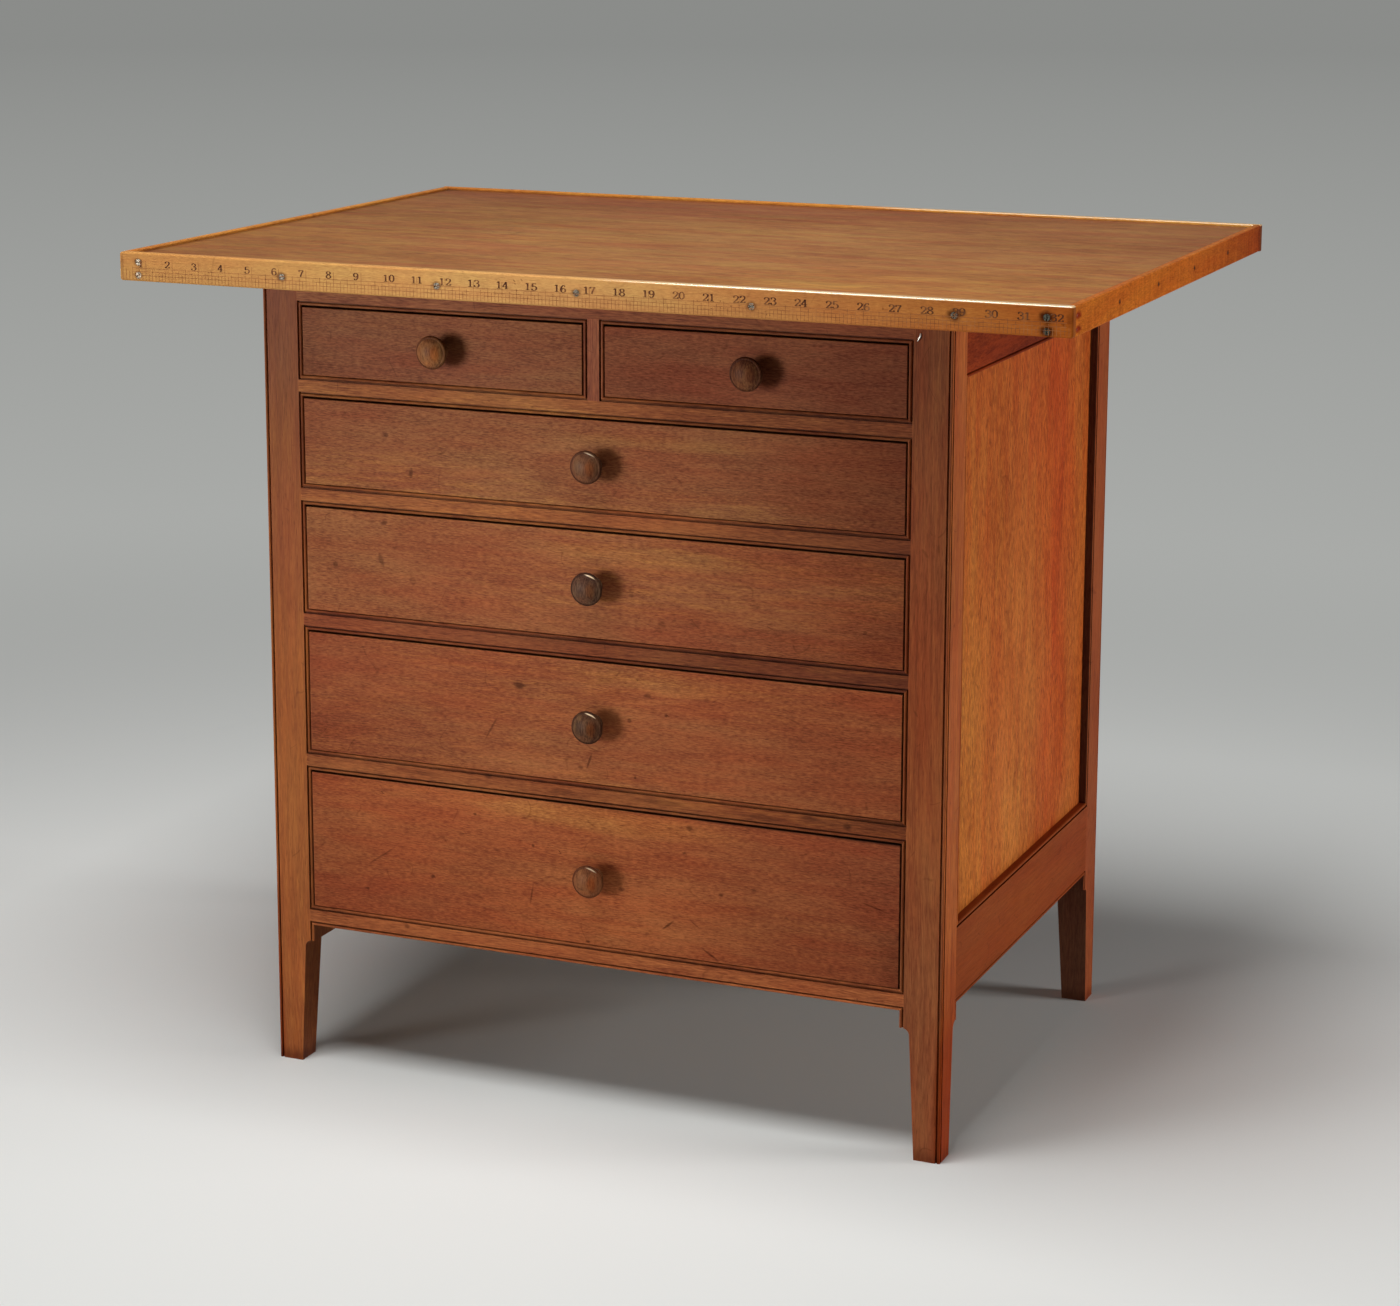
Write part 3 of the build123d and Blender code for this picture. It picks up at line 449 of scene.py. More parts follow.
# How strongly the golden lines and the specks of each front show, from the top one down.
FRONT_GOLDEN = (0.2, 0.2, 0.8, 0.8, 0.6, 0.5)
FRONT_SPECKS = (0.4, 0.4, 0.8, 0.9, 1.1, 1.3)
for number, drawer in enumerate(DRAWERS):
    low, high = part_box(drawer + "_front")
    middle = (low + high) / 2
    grime = front_mark(middle.x / MM + 4, middle.z / MM + 1, 26, 22, 0.5, 0, FAINT_DIRT)
    dress(drawer + "_front", wood(
        drawer + "_front_wood", "XZY", FRONT_COLOURS[drawer], seed=number + 1,
        span=(low.x, high.x), golden=FRONT_GOLDEN[number], specks=FRONT_SPECKS[number],
        hues=0.15, gloss=0.04, fibres=1.35,
        spots=(grime, *FRONT_MARKS[drawer]),
        # Painted shade: the front's top and side faces, inside the gaps, get the dark gap colour.
        flanks=((UP, GAP_SHADE_FACE), (LEFT, GAP_SHADE_FACE), (RIGHT, GAP_SHADE_FACE)),
    ))

# The posts grow darker towards the top: partly the wood's tone, partly painted shade under the
# tabletop's overhang.
POST_SPAN = (0.05, 0.68)                  # heights between which the posts' colours change
POST_FLANK = (0.415, 0.097, 0.021)
INNER_FLANK = (0.215, 0.060, 0.021)
# This makes the front legs' outer faces darker towards the foot.
LEG_DARKENING = (0.66, 0.37, 0.14)


def leg_shade(side):
    """Darker wood on the outer face of a front leg."""
    outer = CASE_LOW.x if side == "left" else CASE_HIGH.x
    centre = (outer, CASE_LOW.y + 14 * MM, 30 * MM)
    return centre, (8 * MM, 60 * MM, 160 * MM), 0, 1.0, LEG_DARKENING


dress("post_front_left", wood(
    "post_left_wood", "ZXY", ((0.325, 0.092, 0.024), (0.240, 0.068, 0.0125), (0.134, 0.0330, 0.0085)),
    seed=11, span=POST_SPAN, contrast=0.21, streaks=0.8, reach=3, dirt_and_shade=post_dirt,
    flanks=((LEFT, POST_FLANK), (RIGHT, INNER_FLANK)),
    spots=(leg_shade("left"),),
))
dress("post_front_right", wood(
    "post_right_wood", "ZXY", ((0.252, 0.077, 0.028), (0.190, 0.0455, 0.0130), (0.145, 0.0395, 0.0138)),
    seed=12, span=POST_SPAN, contrast=0.28, gloss=0.05, streaks=0.8, specks=0.8, reach=3,
    dirt_and_shade=post_dirt, hues=0.14,
    flanks=((RIGHT, POST_FLANK), (LEFT, INNER_FLANK)),
    spots=(leg_shade("right"),),
))
back_post_wood = wood(
    "back_post_wood", "ZXY", ((0.360, 0.082, 0.028), (0.305, 0.067, 0.020), (0.305, 0.067, 0.020)),
    seed=13, span=(0.02, 0.3), contrast=0.25, gloss=0.02, reach=2, dirt_and_shade=post_dirt,
    # Painted shade: the faces that look to the front, in the recess and under the case, get a
    # near-black colour.
    flanks=((FRONT, (0.096, 0.033, 0.0175)),),
)
dress("post_back_left", back_post_wood)
dress("post_back_right", back_post_wood)

RAIL_LEFT = (0.222, 0.068, 0.020)
RAIL_RIGHT = (0.132, 0.034, 0.0115)
RAIL_MARKS = {
    "drawer_rail_4": (
        front_mark(221.9, 273.2, 5, 4), front_mark(-98.2, 278.7, 5, 3), front_mark(60, 274, 30, 3, 0.5),
        front_mark(150, 272, 22, 4, 0.4), front_mark(-160, 274, 26, 3, 0.4),
        front_mark(-30, 273, 14, 4, 0.5), front_mark(190, 276, 12, 2.5, 0.6),
    ),
    "front_rail_bottom": (front_mark(-176.9, 136.5, 3.5, 2.5),),
}
RAIL_COLOURS = {
    # The top rail is given darker colours, partly painted shade under the tabletop's overhang.
    "front_rail_top": ((0.175, 0.054, 0.022), (0.150, 0.042, 0.017), (0.130, 0.036, 0.014)),
    "drawer_rail_1": (RAIL_LEFT, RAIL_LEFT, RAIL_RIGHT),
    "drawer_rail_2": (RAIL_LEFT, RAIL_LEFT, (0.098, 0.0215, 0.0078)),
    "drawer_rail_3": ((0.200, 0.054, 0.018), (0.150, 0.038, 0.0130), (0.085, 0.0190, 0.0075)),
    "drawer_rail_4": ((0.215, 0.060, 0.0185), (0.190, 0.050, 0.0160), (0.125, 0.030, 0.0100)),
    "front_rail_bottom": ((0.245, 0.066, 0.0220), (0.285, 0.078, 0.0255), (0.325, 0.091, 0.031)),
}
for number, (node, colours) in enumerate(RAIL_COLOURS.items()):
    dress(node, wood(
        node + "_wood", "XZY", colours, seed=20 + number, span=(CASE_LOW.x, CASE_HIGH.x),
        specks=0.9, spots=RAIL_MARKS.get(node, ()), reach=2, dirt_and_shade=opening_dirt, contrast=0.42,
        golden=0.9, gloss=0.05,
        # Painted shade: the rails' undersides, over the gaps, get the dark gap colour.
        flanks=((DOWN, GAP_SHADE_FACE),),
    ))
dress("drawer_divider", wood(
    "divider_wood", "ZXY", ((0.19, 0.048, 0.017),), seed=29, reach=2, dirt_and_shade=opening_dirt,
))
CASE_DEPTH = (CASE_LOW.y, CASE_HIGH.y)
# The side top rails: darker wood, and painted shade of the tabletop's overhang above them.
dark_shaded_rail_wood = wood(
    "dark_shaded_rail_wood", "YZX", ((0.250, 0.033, 0.0060), (0.142, 0.017, 0.004), (0.13, 0.015, 0.003)),
    seed=31, span=CASE_DEPTH, gloss=0.02, streaks=1.0, bands=0.7,
)
low_rail_wood = wood(
    "low_rail_wood", "YZX", ((0.235, 0.047, 0.012), (0.295, 0.059, 0.013), (0.285, 0.052, 0.012)),
    seed=32, span=CASE_DEPTH, gloss=0.02, reach=3, contrast=0.2, fibres=0.6, ruddy=0.2,
)
back_rail_wood = wood("back_rail_wood", "XZY", ((0.220, 0.050, 0.016),), seed=33)
for side in ("left", "right"):
    dress("side_rail_top_" + side, dark_shaded_rail_wood)
    dress("side_rail_bottom_" + side, low_rail_wood)
dress("back_rail_top", back_rail_wood)
dress("back_rail_bottom", back_rail_wood)

PANEL = (0.490, 0.120, 0.024)
PANEL_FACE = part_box("side_panel_right")[1].x
PANEL_MARK_DEPTH = 20 * MM


def panel_tone(y, z, wide, high, strength, stain):
    """A broad soft patch on the right panel, in millimetres."""
    radii = (PANEL_MARK_DEPTH, wide * MM, high * MM)
    return (PANEL_FACE, y * MM, z * MM), radii, 0, strength, stain


panel_wood = wood(
    "panel_wood", "ZYX", (PANEL, PANEL, (0.450, 0.098, 0.019)), seed=41, span=(0.19, 0.64),
    golden=0.5, ruddy=0.9, bands=0.35, blotches=0.6, hues=0.16, gloss=0.02, fibres=1.9,
    streaks=0.25, pores=1.3, reach=1.3, specks=0.6, contrast=0.30,
    spots=(
        panel_tone(-205, 330, 110, 330, 0.8, (1.14, 1.40, 1.25)),
        panel_tone(60, 540, 70, 210, 0.8, (1.0, 0.70, 0.62)),
        panel_tone(70, 300, 50, 160, 0.8, (1.0, 0.74, 0.66)),
        panel_tone(-40, 230, 90, 60, 0.7, (1.10, 1.35, 1.3)),
    ),
)
dress("side_panel_left", panel_wood)
dress("side_panel_right", panel_wood)
dress("back_panel", wood(
    "back_panel_wood", "XZY", (PANEL,), seed=43, golden=0.6, ruddy=0.7, bands=0.6,
))

# ---------------------------------------------------------------- woods of the top
TOP_SPAN = (TOP_LEFT, TOP_RIGHT)
TOP_DEPTH = (RULER_LOW.y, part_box("rim_back")[1].y)
# The ruler's screws: inches from its left end, height above its lower edge in millimetres, and
# the half width and strength of the dark ring round each.
RULER_SCREWS = (
    (0.72, 16, 4.4, 1.0), (0.71, 5, 4.2, 1.0), (6.1, 10.6, 5.4, 0.9), (11.7, 11, 4.8, 0.8),
    (16.55, 12, 4.8, 0.7), (22.4, 9.7, 5.2, 0.8), (28.85, 12.2, 6.5, 0.9),
    (31.69, 14.7, 7.0, 1.0), (31.7, 4.2, 6.5, 1.0),
)
# Its other marks: inches, height, half width and half height, turn and strength.
RULER_MARKS = (
    (14.42, 18.8, 1.8, 0.6, 40, 0.9), (14.68, 19.8, 1.8, 0.6, 40, 0.9), (14.45, 16.5, 1, 0.8, 0, 0.5),
    (20.62, 11.7, 0.7, 0.7, 0, 0.8), (21.38, 12.4, 0.7, 0.7, 0, 0.8), (21.73, 9, 0.8, 0.7, 0, 0.8),
    (21.08, 6.3, 0.8, 0.8, 0, 0.8), (23.0, 3.8, 0.9, 0.8, 0, 0.9), (23.9, 2, 0.8, 0.8, 0, 0.8),
    (22.9, 4, 0.8, 0.8, 0, 0.8), (26.62, 14, 1.2, 1.6, 0, 0.5), (29.1, 14, 5, 3.5, 0, 0.5),
    (32.4, 14, 4, 9, 0, 0.5), (0.1, 12, 2, 14, 0, 0.4), (32.2, 10, 3, 1.5, 20, 0.6),
)
RIM_MARK_DEPTH = 3 * MM


def ruler_mark(inches, height, wide, high, turn=0, strength=0.7, stain=DIRT):
    """A mark on the ruler's face, in inches along it and otherwise in millimetres."""
    centre = (RULER_LOW.x + inches * INCH, RULER_LOW.y, RULER_LOW.z + height * MM)
    return centre, (wide * MM, RIM_MARK_DEPTH, high * MM), math.radians(turn), strength, stain


def rim_mark(y, z, wide, high, strength=0.8, stain=DIRT):
    """A mark on the right rim's outer face, in millimetres."""
    radii = (RIM_MARK_DEPTH, wide * MM, high * MM)
    return (TOP_RIGHT, y * MM, z * MM), radii, 0, strength, stain


def polished_edge(graph, parts):
    """The rounded top edges of the rims."""
    return graph.remap(parts["Z"], RULER_HIGH.z - 1.5 * MM, RULER_HIGH.z - 0.6 * MM, smooth=True)


def polished_right(graph, parts):
    """The same edges, only in the right half of the ruler and the back rim: polish and painted
    highlight.
    """
    share = graph.remap(parts["X"], 0, 0.12, 0.02, 0.8, smooth=True)
    return graph.math("MULTIPLY", polished_edge(graph, parts), share)


def faintly_polished(graph, parts):
    """The same edges, hardly polished."""
    return graph.math("MULTIPLY", polished_edge(graph, parts), 0.1)


SCREW_STAIN = (0.16, 0.11, 0.10)          # what the rings round the screws multiply it by
BOARD_MARK_HEIGHT = 707 * MM

# The pale colours painted on polished wood as highlights.
RULER_HIGHLIGHT = (0.72, 0.52, 0.27)
BACK_RIM_HIGHLIGHT = (0.66, 0.40, 0.17)
KNOB_HIGHLIGHT = (0.80, 0.58, 0.36)


def board_joints(graph, parts, blotch):
    """Dirt along the board's edges, where the left, right and back rims stand over it."""
    low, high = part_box("tabletop_board")
    left = graph.math("SUBTRACT", parts["X"], low.x)
    right = graph.math("SUBTRACT", high.x, parts["X"])
    back = graph.math("SUBTRACT", high.y, parts["Y"])
    nearest = graph.math("MINIMUM", graph.math("MINIMUM", left, right), back)
    return graph.remap(nearest, 1.5 * MM, 7 * MM, 0.8, 0, smooth=True)


def board_tone(x, y, wide, long, deep, strength, stain):
    """A soft patch on the tabletop, in millimetres."""
    radii = (wide * MM, long * MM, deep * MM)
    return (x * MM, y * MM, BOARD_MARK_HEIGHT), radii, 0, strength, stain


dress("tabletop_board", wood(
    "tabletop_wood", "XYZ", ((0.210, 0.072, 0.012), (0.240, 0.091, 0.0205), (0.245, 0.083, 0.0160)),
    seed=51, span=TOP_SPAN, golden=0.8, ruddy=0.7, roughness=0.42, gloss=0.10,
    hues=0.20, fibres=1.4, streaks=0.35, bands=0.2, blotches=0.6, pores=0.6, reach=3,
    dirt_and_shade=board_joints,
    spots=(
        board_tone(320, -250, 320, 160, 50, 0.8, (1.22, 1.30, 1.15)),
        board_tone(-50, 330, 500, 220, 50, 1.0, (0.90, 0.66, 0.62)),
        board_tone(-402, 286, 12, 12, 10, 0.8, DIRT),
    ),
))
dress("ruler_strip", wood(
    "ruler_wood", "XZY", ((0.385, 0.175, 0.048), (0.428, 0.215, 0.070), (0.318, 0.080, 0.0095)),
    seed=61, span=TOP_SPAN, contrast=0.20, golden=0.2, ruddy=0.3, curl=0.2,
    fibres=0.8, streaks=0.3, pores=0.3, polish=polished_right, coat=2.0, gloss=0.03, painted_highlight=RULER_HIGHLIGHT,
    scratches=0.3, wear=0.1,
    spots=[
        ruler_mark(inches, height, ring * 1.2, ring, 0, strength, SCREW_STAIN)
        for inches, height, ring, strength in RULER_SCREWS
    ] + [ruler_mark(*mark) for mark in RULER_MARKS],
))
RIM = (0.405, 0.146, 0.028)
END_GRAIN = (0.160, 0.034, 0.008)
RIM_END_STAIN = (0.50, 0.20, 0.28)
NAIL_PITCH = 114.5                        # of the side rims' nails, in millimetres
dress("rim_right", wood(
    "rim_wood", "YZX", ((0.570, 0.155, 0.018), (0.500, 0.126, 0.014), (0.290, 0.044, 0.007)),
    seed=71, span=TOP_DEPTH, contrast=0.25, golden=0.3, curl=0.7,
    gloss=0.01, polish=faintly_polished, wear=0.1, flanks=((UP, (0.360, 0.100, 0.013)),),
    spots=[rim_mark(step * NAIL_PITCH, 697, 4.5, 3, 1.0) for step in (-1.5, -0.5, 0.5, 1.5)] + [
        rim_mark(-284, 701, 11, 3.8, 1.0, RIM_END_STAIN),
        rim_mark(-284, 690.6, 11, 3.8, 1.0, RIM_END_STAIN),
        rim_mark(282, 700.5, 1.4, 5.5), rim_mark(292, 697, 12, 18, 0.6),
    ],
))
dress("rim_left", wood(
    "left_rim_wood", "YZX", (RIM,), seed=73, contrast=0.25, golden=0.3, curl=0.5, gloss=0.02,
    wear=0.1, polish=faintly_polished,
))
dress("rim_back", wood(
    "back_rim_wood", "XZY", (RIM, (0.520, 0.200, 0.036), (0.560, 0.250, 0.060)), seed=72,
    span=TOP_SPAN, contrast=0.25, golden=0.3, curl=0.3, gloss=0.02, wear=0.1,
    polish=polished_right, coat=1.5, painted_highlight=BACK_RIM_HIGHLIGHT,
    flanks=((RIGHT, END_GRAIN), (LEFT, END_GRAIN)),
))

# ---------------------------------------------------------------- knobs and inner woods
# Each knob's average colour, then how strong its orange patch on the right, its painted grey
# sheen on the left, its painted highlight and its dark cracks are.
KNOB_LOOKS = {
    "top_left_drawer": ((0.165, 0.067, 0.026), 0.6, 0.2, 0.0, 0.2),
    "top_right_drawer": ((0.112, 0.040, 0.017), 0.2, 0.1, 0.0, 0.3),
    "second_drawer": ((0.092, 0.039, 0.019), 0.6, 0.7, 0.4, 0.5),
    "third_drawer": ((0.086, 0.041, 0.0235), 0.6, 0.5, 1.0, 0.4),
    "fourth_drawer": ((0.082, 0.034, 0.017), 0.8, 1.0, 1.0, 0.5),
    "bottom_drawer": ((0.134, 0.045, 0.018), 0.7, 0.2, 0.7, 1.0),
}
# What the knobs' patches multiply the wood's colour by: a painted floor reflection, a painted sheen and
# painted shade among them.
ORANGE_PATCH = (1.35, 0.82, 0.42)
FLOOR_REFLECTION_PATCH = (1.5, 1.2, 1.0)
GREY_SHEEN_PATCH = (0.80, 0.91, 0.95)
SHADE_PATCH = (0.5, 0.42, 0.45)
KNOB_MARK_DEPTH = 20 * MM


def dress_knob(number, drawer):
    """A turned knob's wood, with patches (painted sheen, reflection and shade among them), cracks and a
    polished arc with a painted highlight on its rim.
    """
    node = drawer + "_knob"
    # grey is how strong the painted sheen on the left is.
    average, orange, grey, highlight_strength, cracks = KNOB_LOOKS[drawer]
    low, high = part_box(node)
    middle = (low + high) / 2
    radius = (high.x - low.x) / 2

    def offsets(graph, parts):
        """A point's distances from the knob's axis: to the right, upwards and altogether."""
        side = graph.math("SUBTRACT", parts["X"], middle.x)
        rise = graph.math("SUBTRACT", parts["Z"], middle.z)
        square = graph.math("MULTIPLY", rise, rise)
        reach = graph.math("SQRT", graph.math("MULTIPLY_ADD", side, side, square))
        return side, rise, reach

    def turned_rim(graph, parts):
        """A thin arc near the rim's upper right, polished by hands, with a highlight painted there."""
        side, rise, reach = offsets(graph, parts)
        upper = graph.math("MULTIPLY_ADD", side, 0.35, rise)
        inner = graph.remap(reach, radius - 2.7 * MM, radius - 2.1 * MM, 0, highlight_strength, smooth=True)
        outer = graph.remap(reach, radius - 1.7 * MM, radius - 0.9 * MM, 1, 0, smooth=True)
        arc = graph.math("MULTIPLY", inner, outer)
        return graph.math("MULTIPLY", arc, graph.remap(upper, 0.855 * radius, 0.915 * radius))

    def outer_ring(graph, parts, blotch):
        """Dirt and painted shade round the rim, most of it at the left."""
        side, _, reach = offsets(graph, parts)
        ring = graph.remap(reach, radius - 2.8 * MM, radius - 0.8 * MM, smooth=True)
        return graph.math("MULTIPLY", ring, graph.remap(side, -8 * MM, 12 * MM, 2.0, 0.3))

    def patch(x, z, wide, high, strength, stain, turn=0):
        """A mark on the knob's face, in millimetres from its middle."""
        centre = (middle.x + x * MM, low.y, middle.z + z * MM)
        radii = (wide * MM, KNOB_MARK_DEPTH, high * MM)
        return centre, radii, math.radians(turn), strength, stain

    dress(node, wood(
        node + "_wood", "ZXY", (average,), seed=80 + number, contrast=0.5, fibres=1.0,
        streaks=0.6, blotches=1.4, golden=0.6, ruddy=0.9, roughness=0.50, gloss=0.05,
        polish=turned_rim, coat=1.6, painted_highlight=KNOB_HIGHLIGHT, grime=0.8, dirt_and_shade=outer_ring, specks=0.8,
        scratches=0.2, wear=0.2,
        spots=(
            patch(5.5, -1, 5, 10, orange, ORANGE_PATCH),
            # Painted reflection of the floor: the lower face is made paler.
            patch(-1, -9, 8, 4, 0.6 * orange, FLOOR_REFLECTION_PATCH),
            # Painted sheen: a grey patch on the left stands in for the left lamp's reflection.
            patch(-5, 1, 6, 9, grey, GREY_SHEEN_PATCH),
            # Painted shade: the top of the face is darker.
            patch(1, 10, 9, 3, 0.6, SHADE_PATCH),
            patch(-5, -5, 6, 0.6, 0.6 * cracks, DIRT, 15),
            patch(2, 4, 4, 0.6, 0.5 * cracks, DIRT, -75),
            patch(-8, 4, 2.5, 0.7, 0.6 * cracks, DIRT, 60),
        ),
    ))


for number, drawer in enumerate(DRAWERS):
    dress_knob(number, drawer)

INNER = (0.480, 0.260, 0.105)
inner_wood = wood(
    "inner_wood", "YZX", (INNER,), seed=91, contrast=0.2, roughness=0.62, golden=0.3, ruddy=0.3,
)
inner_cross_wood = wood(
    "inner_cross_wood", "XYZ", (INNER,), seed=92, contrast=0.2, roughness=0.62, golden=0.3,
    ruddy=0.3, flanks=((DOWN, (0.260, 0.135, 0.055)),),
)
for drawer in DRAWERS:
    dress(drawer + "_sides", inner_wood)
    dress(drawer + "_back", inner_cross_wood)
    dress(drawer + "_bottom", inner_cross_wood)
dress("drawer_runners", inner_wood)
dress("drawer_kickers", inner_wood)


# ---------------------------------------------------------------- metals
def metal(name, axis, span, colours, roughness, grime):
    """Old metal: its average colours are spread over span along an axis, and grime is what its
    dirty patches multiply them by."""
    graph = new_graph(name)
    place = graph.place()
    average = graph.trend(dict(zip("XYZ", graph.split(place)))[axis], *span, colours)
    patch = graph.noise(place, METAL_PATCH, 3)
    share = graph.remap(patch, 0.4, 0.65)
    colour = graph.tint(average, grime, share)
    rough = graph.remap(share, 0, 1, roughness, roughness + 0.2)
    return graph.finish(colour, rough, patch, PITTING_DEPTH, {"Metallic": 1.0})


METAL_PATCH = (900, 900, 900)  # patches to a metre
PITTING_DEPTH = 0.08 * MM
STEEL = (0.125, 0.105, 0.080)
PALE_STEEL = (0.26, 0.22, 0.17)
DARK_STEEL = (0.065, 0.065, 0.05)
IRON = (0.035, 0.022, 0.016)
RUSTY_IRON = (0.30, 0.07, 0.04)
dress("ruler_screws", metal(
    "screw_steel", "X", TOP_SPAN, (PALE_STEEL, *[STEEL] * 5, DARK_STEEL), 0.5, (0.45, 0.42, 0.38),
))
dress("top_screws", metal(
    "top_screw_steel", "X", TOP_SPAN, (STEEL, STEEL), 0.45, (0.5, 0.4, 0.3),
))
dress("rim_nails", metal(
    "nail_iron", "Y", TOP_DEPTH, (RUSTY_IRON, *[IRON] * 5), 0.55, (0.5, 0.4, 0.35),
))

# ---------------------------------------------------------------- the ruler's marks
MARK_FACE = RULER_LOW.y - 0.03 * MM       # the marks stand this little proud of the ruler
LINE_WIDTH = 0.36 * MM
LINE_FOOT = 686 * MM
LINE_TOPS = {8: 702.3 * MM, 4: 697 * MM, 2: 695.2 * MM, 1: 692.8 * MM}   # by eighths of an inch
LEVELS = (696 * MM, 693 * MM, 690 * MM)
NUMERAL_FOOT = 697.0 * MM
NUMERAL_HEIGHT = 5.6 * MM
NUMERAL_SPREAD = 1.45                     # the numerals are broad
DIGIT_ADVANCE = 0.98 * NUMERAL_HEIGHT     # from one digit to the next
DIGIT_HALF = 0.31 * NUMERAL_HEIGHT * NUMERAL_SPREAD
SINGLE_SHIFT = 0.18 * INCH                # how far left of its inch a single digit stands

# Each digit's strokes, in its own box: 1 high, with its foot on 0. The letter says how the
# stroke's points are joined: c for a smooth curve, l for straight lines, o for a closed curve.
DIGITS = {
    "0": (("o", (.30, 1), (.10, .78), (.08, .5), (.10, .22), (.30, 0), (.50, .22), (.52, .5),
           (.50, .78)),),
    "1": (("l", (.30, 0), (.30, 1)), ("l", (.10, .84), (.28, .97)), ("l", (.08, .03), (.52, .03))),
    "2": (("c", (.10, .74), (.16, .94), (.33, 1), (.52, .88), (.52, .66), (.36, .40), (.08, .05)),
          ("l", (.08, .06), (.56, .06)), ("l", (.54, .06), (.58, .24))),
    "3": (("c", (.10, .80), (.18, .96), (.34, 1), (.52, .86), (.48, .64), (.28, .54)),
          ("c", (.28, .54), (.50, .46), (.57, .26), (.46, .04), (.28, 0), (.12, .06), (.08, .22))),
    "4": (("l", (.42, 0), (.42, 1)), ("l", (.40, .98), (.05, .30)), ("l", (.05, .30), (.62, .30)),
          ("l", (.26, .03), (.58, .03))),
    "5": (("l", (.16, .97), (.52, .97)), ("l", (.16, .97), (.13, .52)),
          ("c", (.13, .52), (.30, .62), (.50, .52), (.57, .30), (.46, .06), (.28, 0), (.12, .05),
           (.08, .20))),
    "6": (("c", (.50, .84), (.40, .97), (.26, .94), (.12, .70), (.08, .40), (.14, .10), (.32, 0),
           (.50, .10), (.54, .30), (.48, .50), (.32, .56), (.14, .44)),),
    "7": (("l", (.08, .95), (.56, .95)), ("l", (.09, .95), (.08, .76)),
          ("c", (.56, .95), (.42, .62), (.30, .30), (.26, 0))),
    "8": (("o", (.31, .54), (.14, .66), (.13, .88), (.31, 1), (.49, .88), (.48, .66), (.31, .54),
           (.12, .40), (.08, .16), (.31, 0), (.54, .16), (.50, .40)),),
    "9": (("c", (.10, .16), (.20, .03), (.34, .06), (.48, .30), (.52, .60), (.46, .90), (.28, 1),
           (.10, .90), (.06, .70), (.12, .50), (.28, .44), (.46, .56)),),
}
BALLS = {"2": ((.13, .76),), "3": ((.13, .80), (.11, .20)), "5": ((.11, .18),), "6": ((.47, .85),),
         "9": ((.13, .15),)}
THICK_STROKE = 0.18                       # as shares of the numerals' height, as is the balls' size
THIN_STROKE = 0.08
BALL_RADIUS = 0.085
BALL_SIDES = 10


def curve_points(points, closed, steps=6):
    """Points along a Catmull-Rom curve through the given ones."""
    count = len(points)
    found = []
    for index in range(count if closed else count - 1):
        near = [
            Vector(points[(index + k) % count if closed else min(max(index + k, 0), count - 1)])
            for k in (-1, 0, 1, 2)
        ]
        for step in range(steps):
            t = step / steps
            found.append(0.5 * (
                2 * near[1] + (near[2] - near[0]) * t
                + (2 * near[0] - 5 * near[1] + 4 * near[2] - near[3]) * t * t
                + (3 * near[1] - near[0] - 3 * near[2] + near[3]) * t ** 3
            ))
    if not closed:
        found.append(Vector(points[-1]))
    return found


def add_stroke(mesh, kind, points, corner):
    """A flat pen stroke, thick where it goes up or down and thin where it goes sideways."""
    closed = kind == "o"
    line = [Vector(p) for p in points] if kind == "l" else curve_points(points, closed)
    count = len(line)
    pairs = []
    for index, point in enumerate(line):
        before = line[index - 1] if closed or index else point
        after = line[(index + 1) % count] if closed or index < count - 1 else point
        heading = (after - before).normalized()
        steep = abs(heading.y) ** 1.5
        half = (THIN_STROKE + (THICK_STROKE - THIN_STROKE) * steep) / 2
        normal = Vector((-heading.y, heading.x)) * half
        pairs.append([
            mesh.verts.new((
                corner.x + side.x * NUMERAL_HEIGHT * NUMERAL_SPREAD,
                MARK_FACE,
                corner.z + side.y * NUMERAL_HEIGHT,
            ))
            for side in (point + normal, point - normal)
        ])
    for index in range(count if closed else count - 1):
        (a, b), (c, d) = pairs[index], pairs[(index + 1) % count]
        mesh.faces.new((a, b, d, c))


def add_ball(mesh, centre, corner):
    """The round end of a pen stroke."""
    ring = [
        mesh.verts.new((
            corner.x + (centre[0] * NUMERAL_SPREAD + BALL_RADIUS * math.cos(turn)) * NUMERAL_HEIGHT,
            MARK_FACE,
            corner.z + (centre[1] + BALL_RADIUS * math.sin(turn)) * NUMERAL_HEIGHT,
        ))
        for turn in (math.tau * step / BALL_SIDES for step in range(BALL_SIDES))
    ]
    mesh.faces.new(ring)


def add_bar(mesh, x_low, x_high, z_low, z_high):
    """A flat upright rectangle in front of the ruler."""
    corners = ((x_low, z_low), (x_high, z_low), (x_high, z_high), (x_low, z_high))
    mesh.faces.new([mesh.verts.new((x, MARK_FACE, z)) for x, z in corners])


def make_piece(name, mesh, material, body="desk"):
    """Turn a bmesh into a piece that rides on a body."""
    bmesh.ops.recalc_face_normals(mesh, faces=mesh.faces)
    data = bpy.data.meshes.new(name)
    mesh.to_mesh(data)
    mesh.free()
    piece = bpy.data.objects.new(name, data)
    bpy.context.scene.collection.objects.link(piece)
    data.materials.append(material)
    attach(piece, body)
    return piece


def ink(name, dark, faded, low, high):
    """Old ink that has faded in patches; low and high say how much of it has."""
    graph = new_graph(name)
    patch = graph.noise(graph.place(), (160, 160, 160), 3)
    colour = graph.mix(graph.remap(patch, low, high), dark, faded)
    return graph.finish(colour, 0.6, shader={"Specular IOR Level": 0.05})


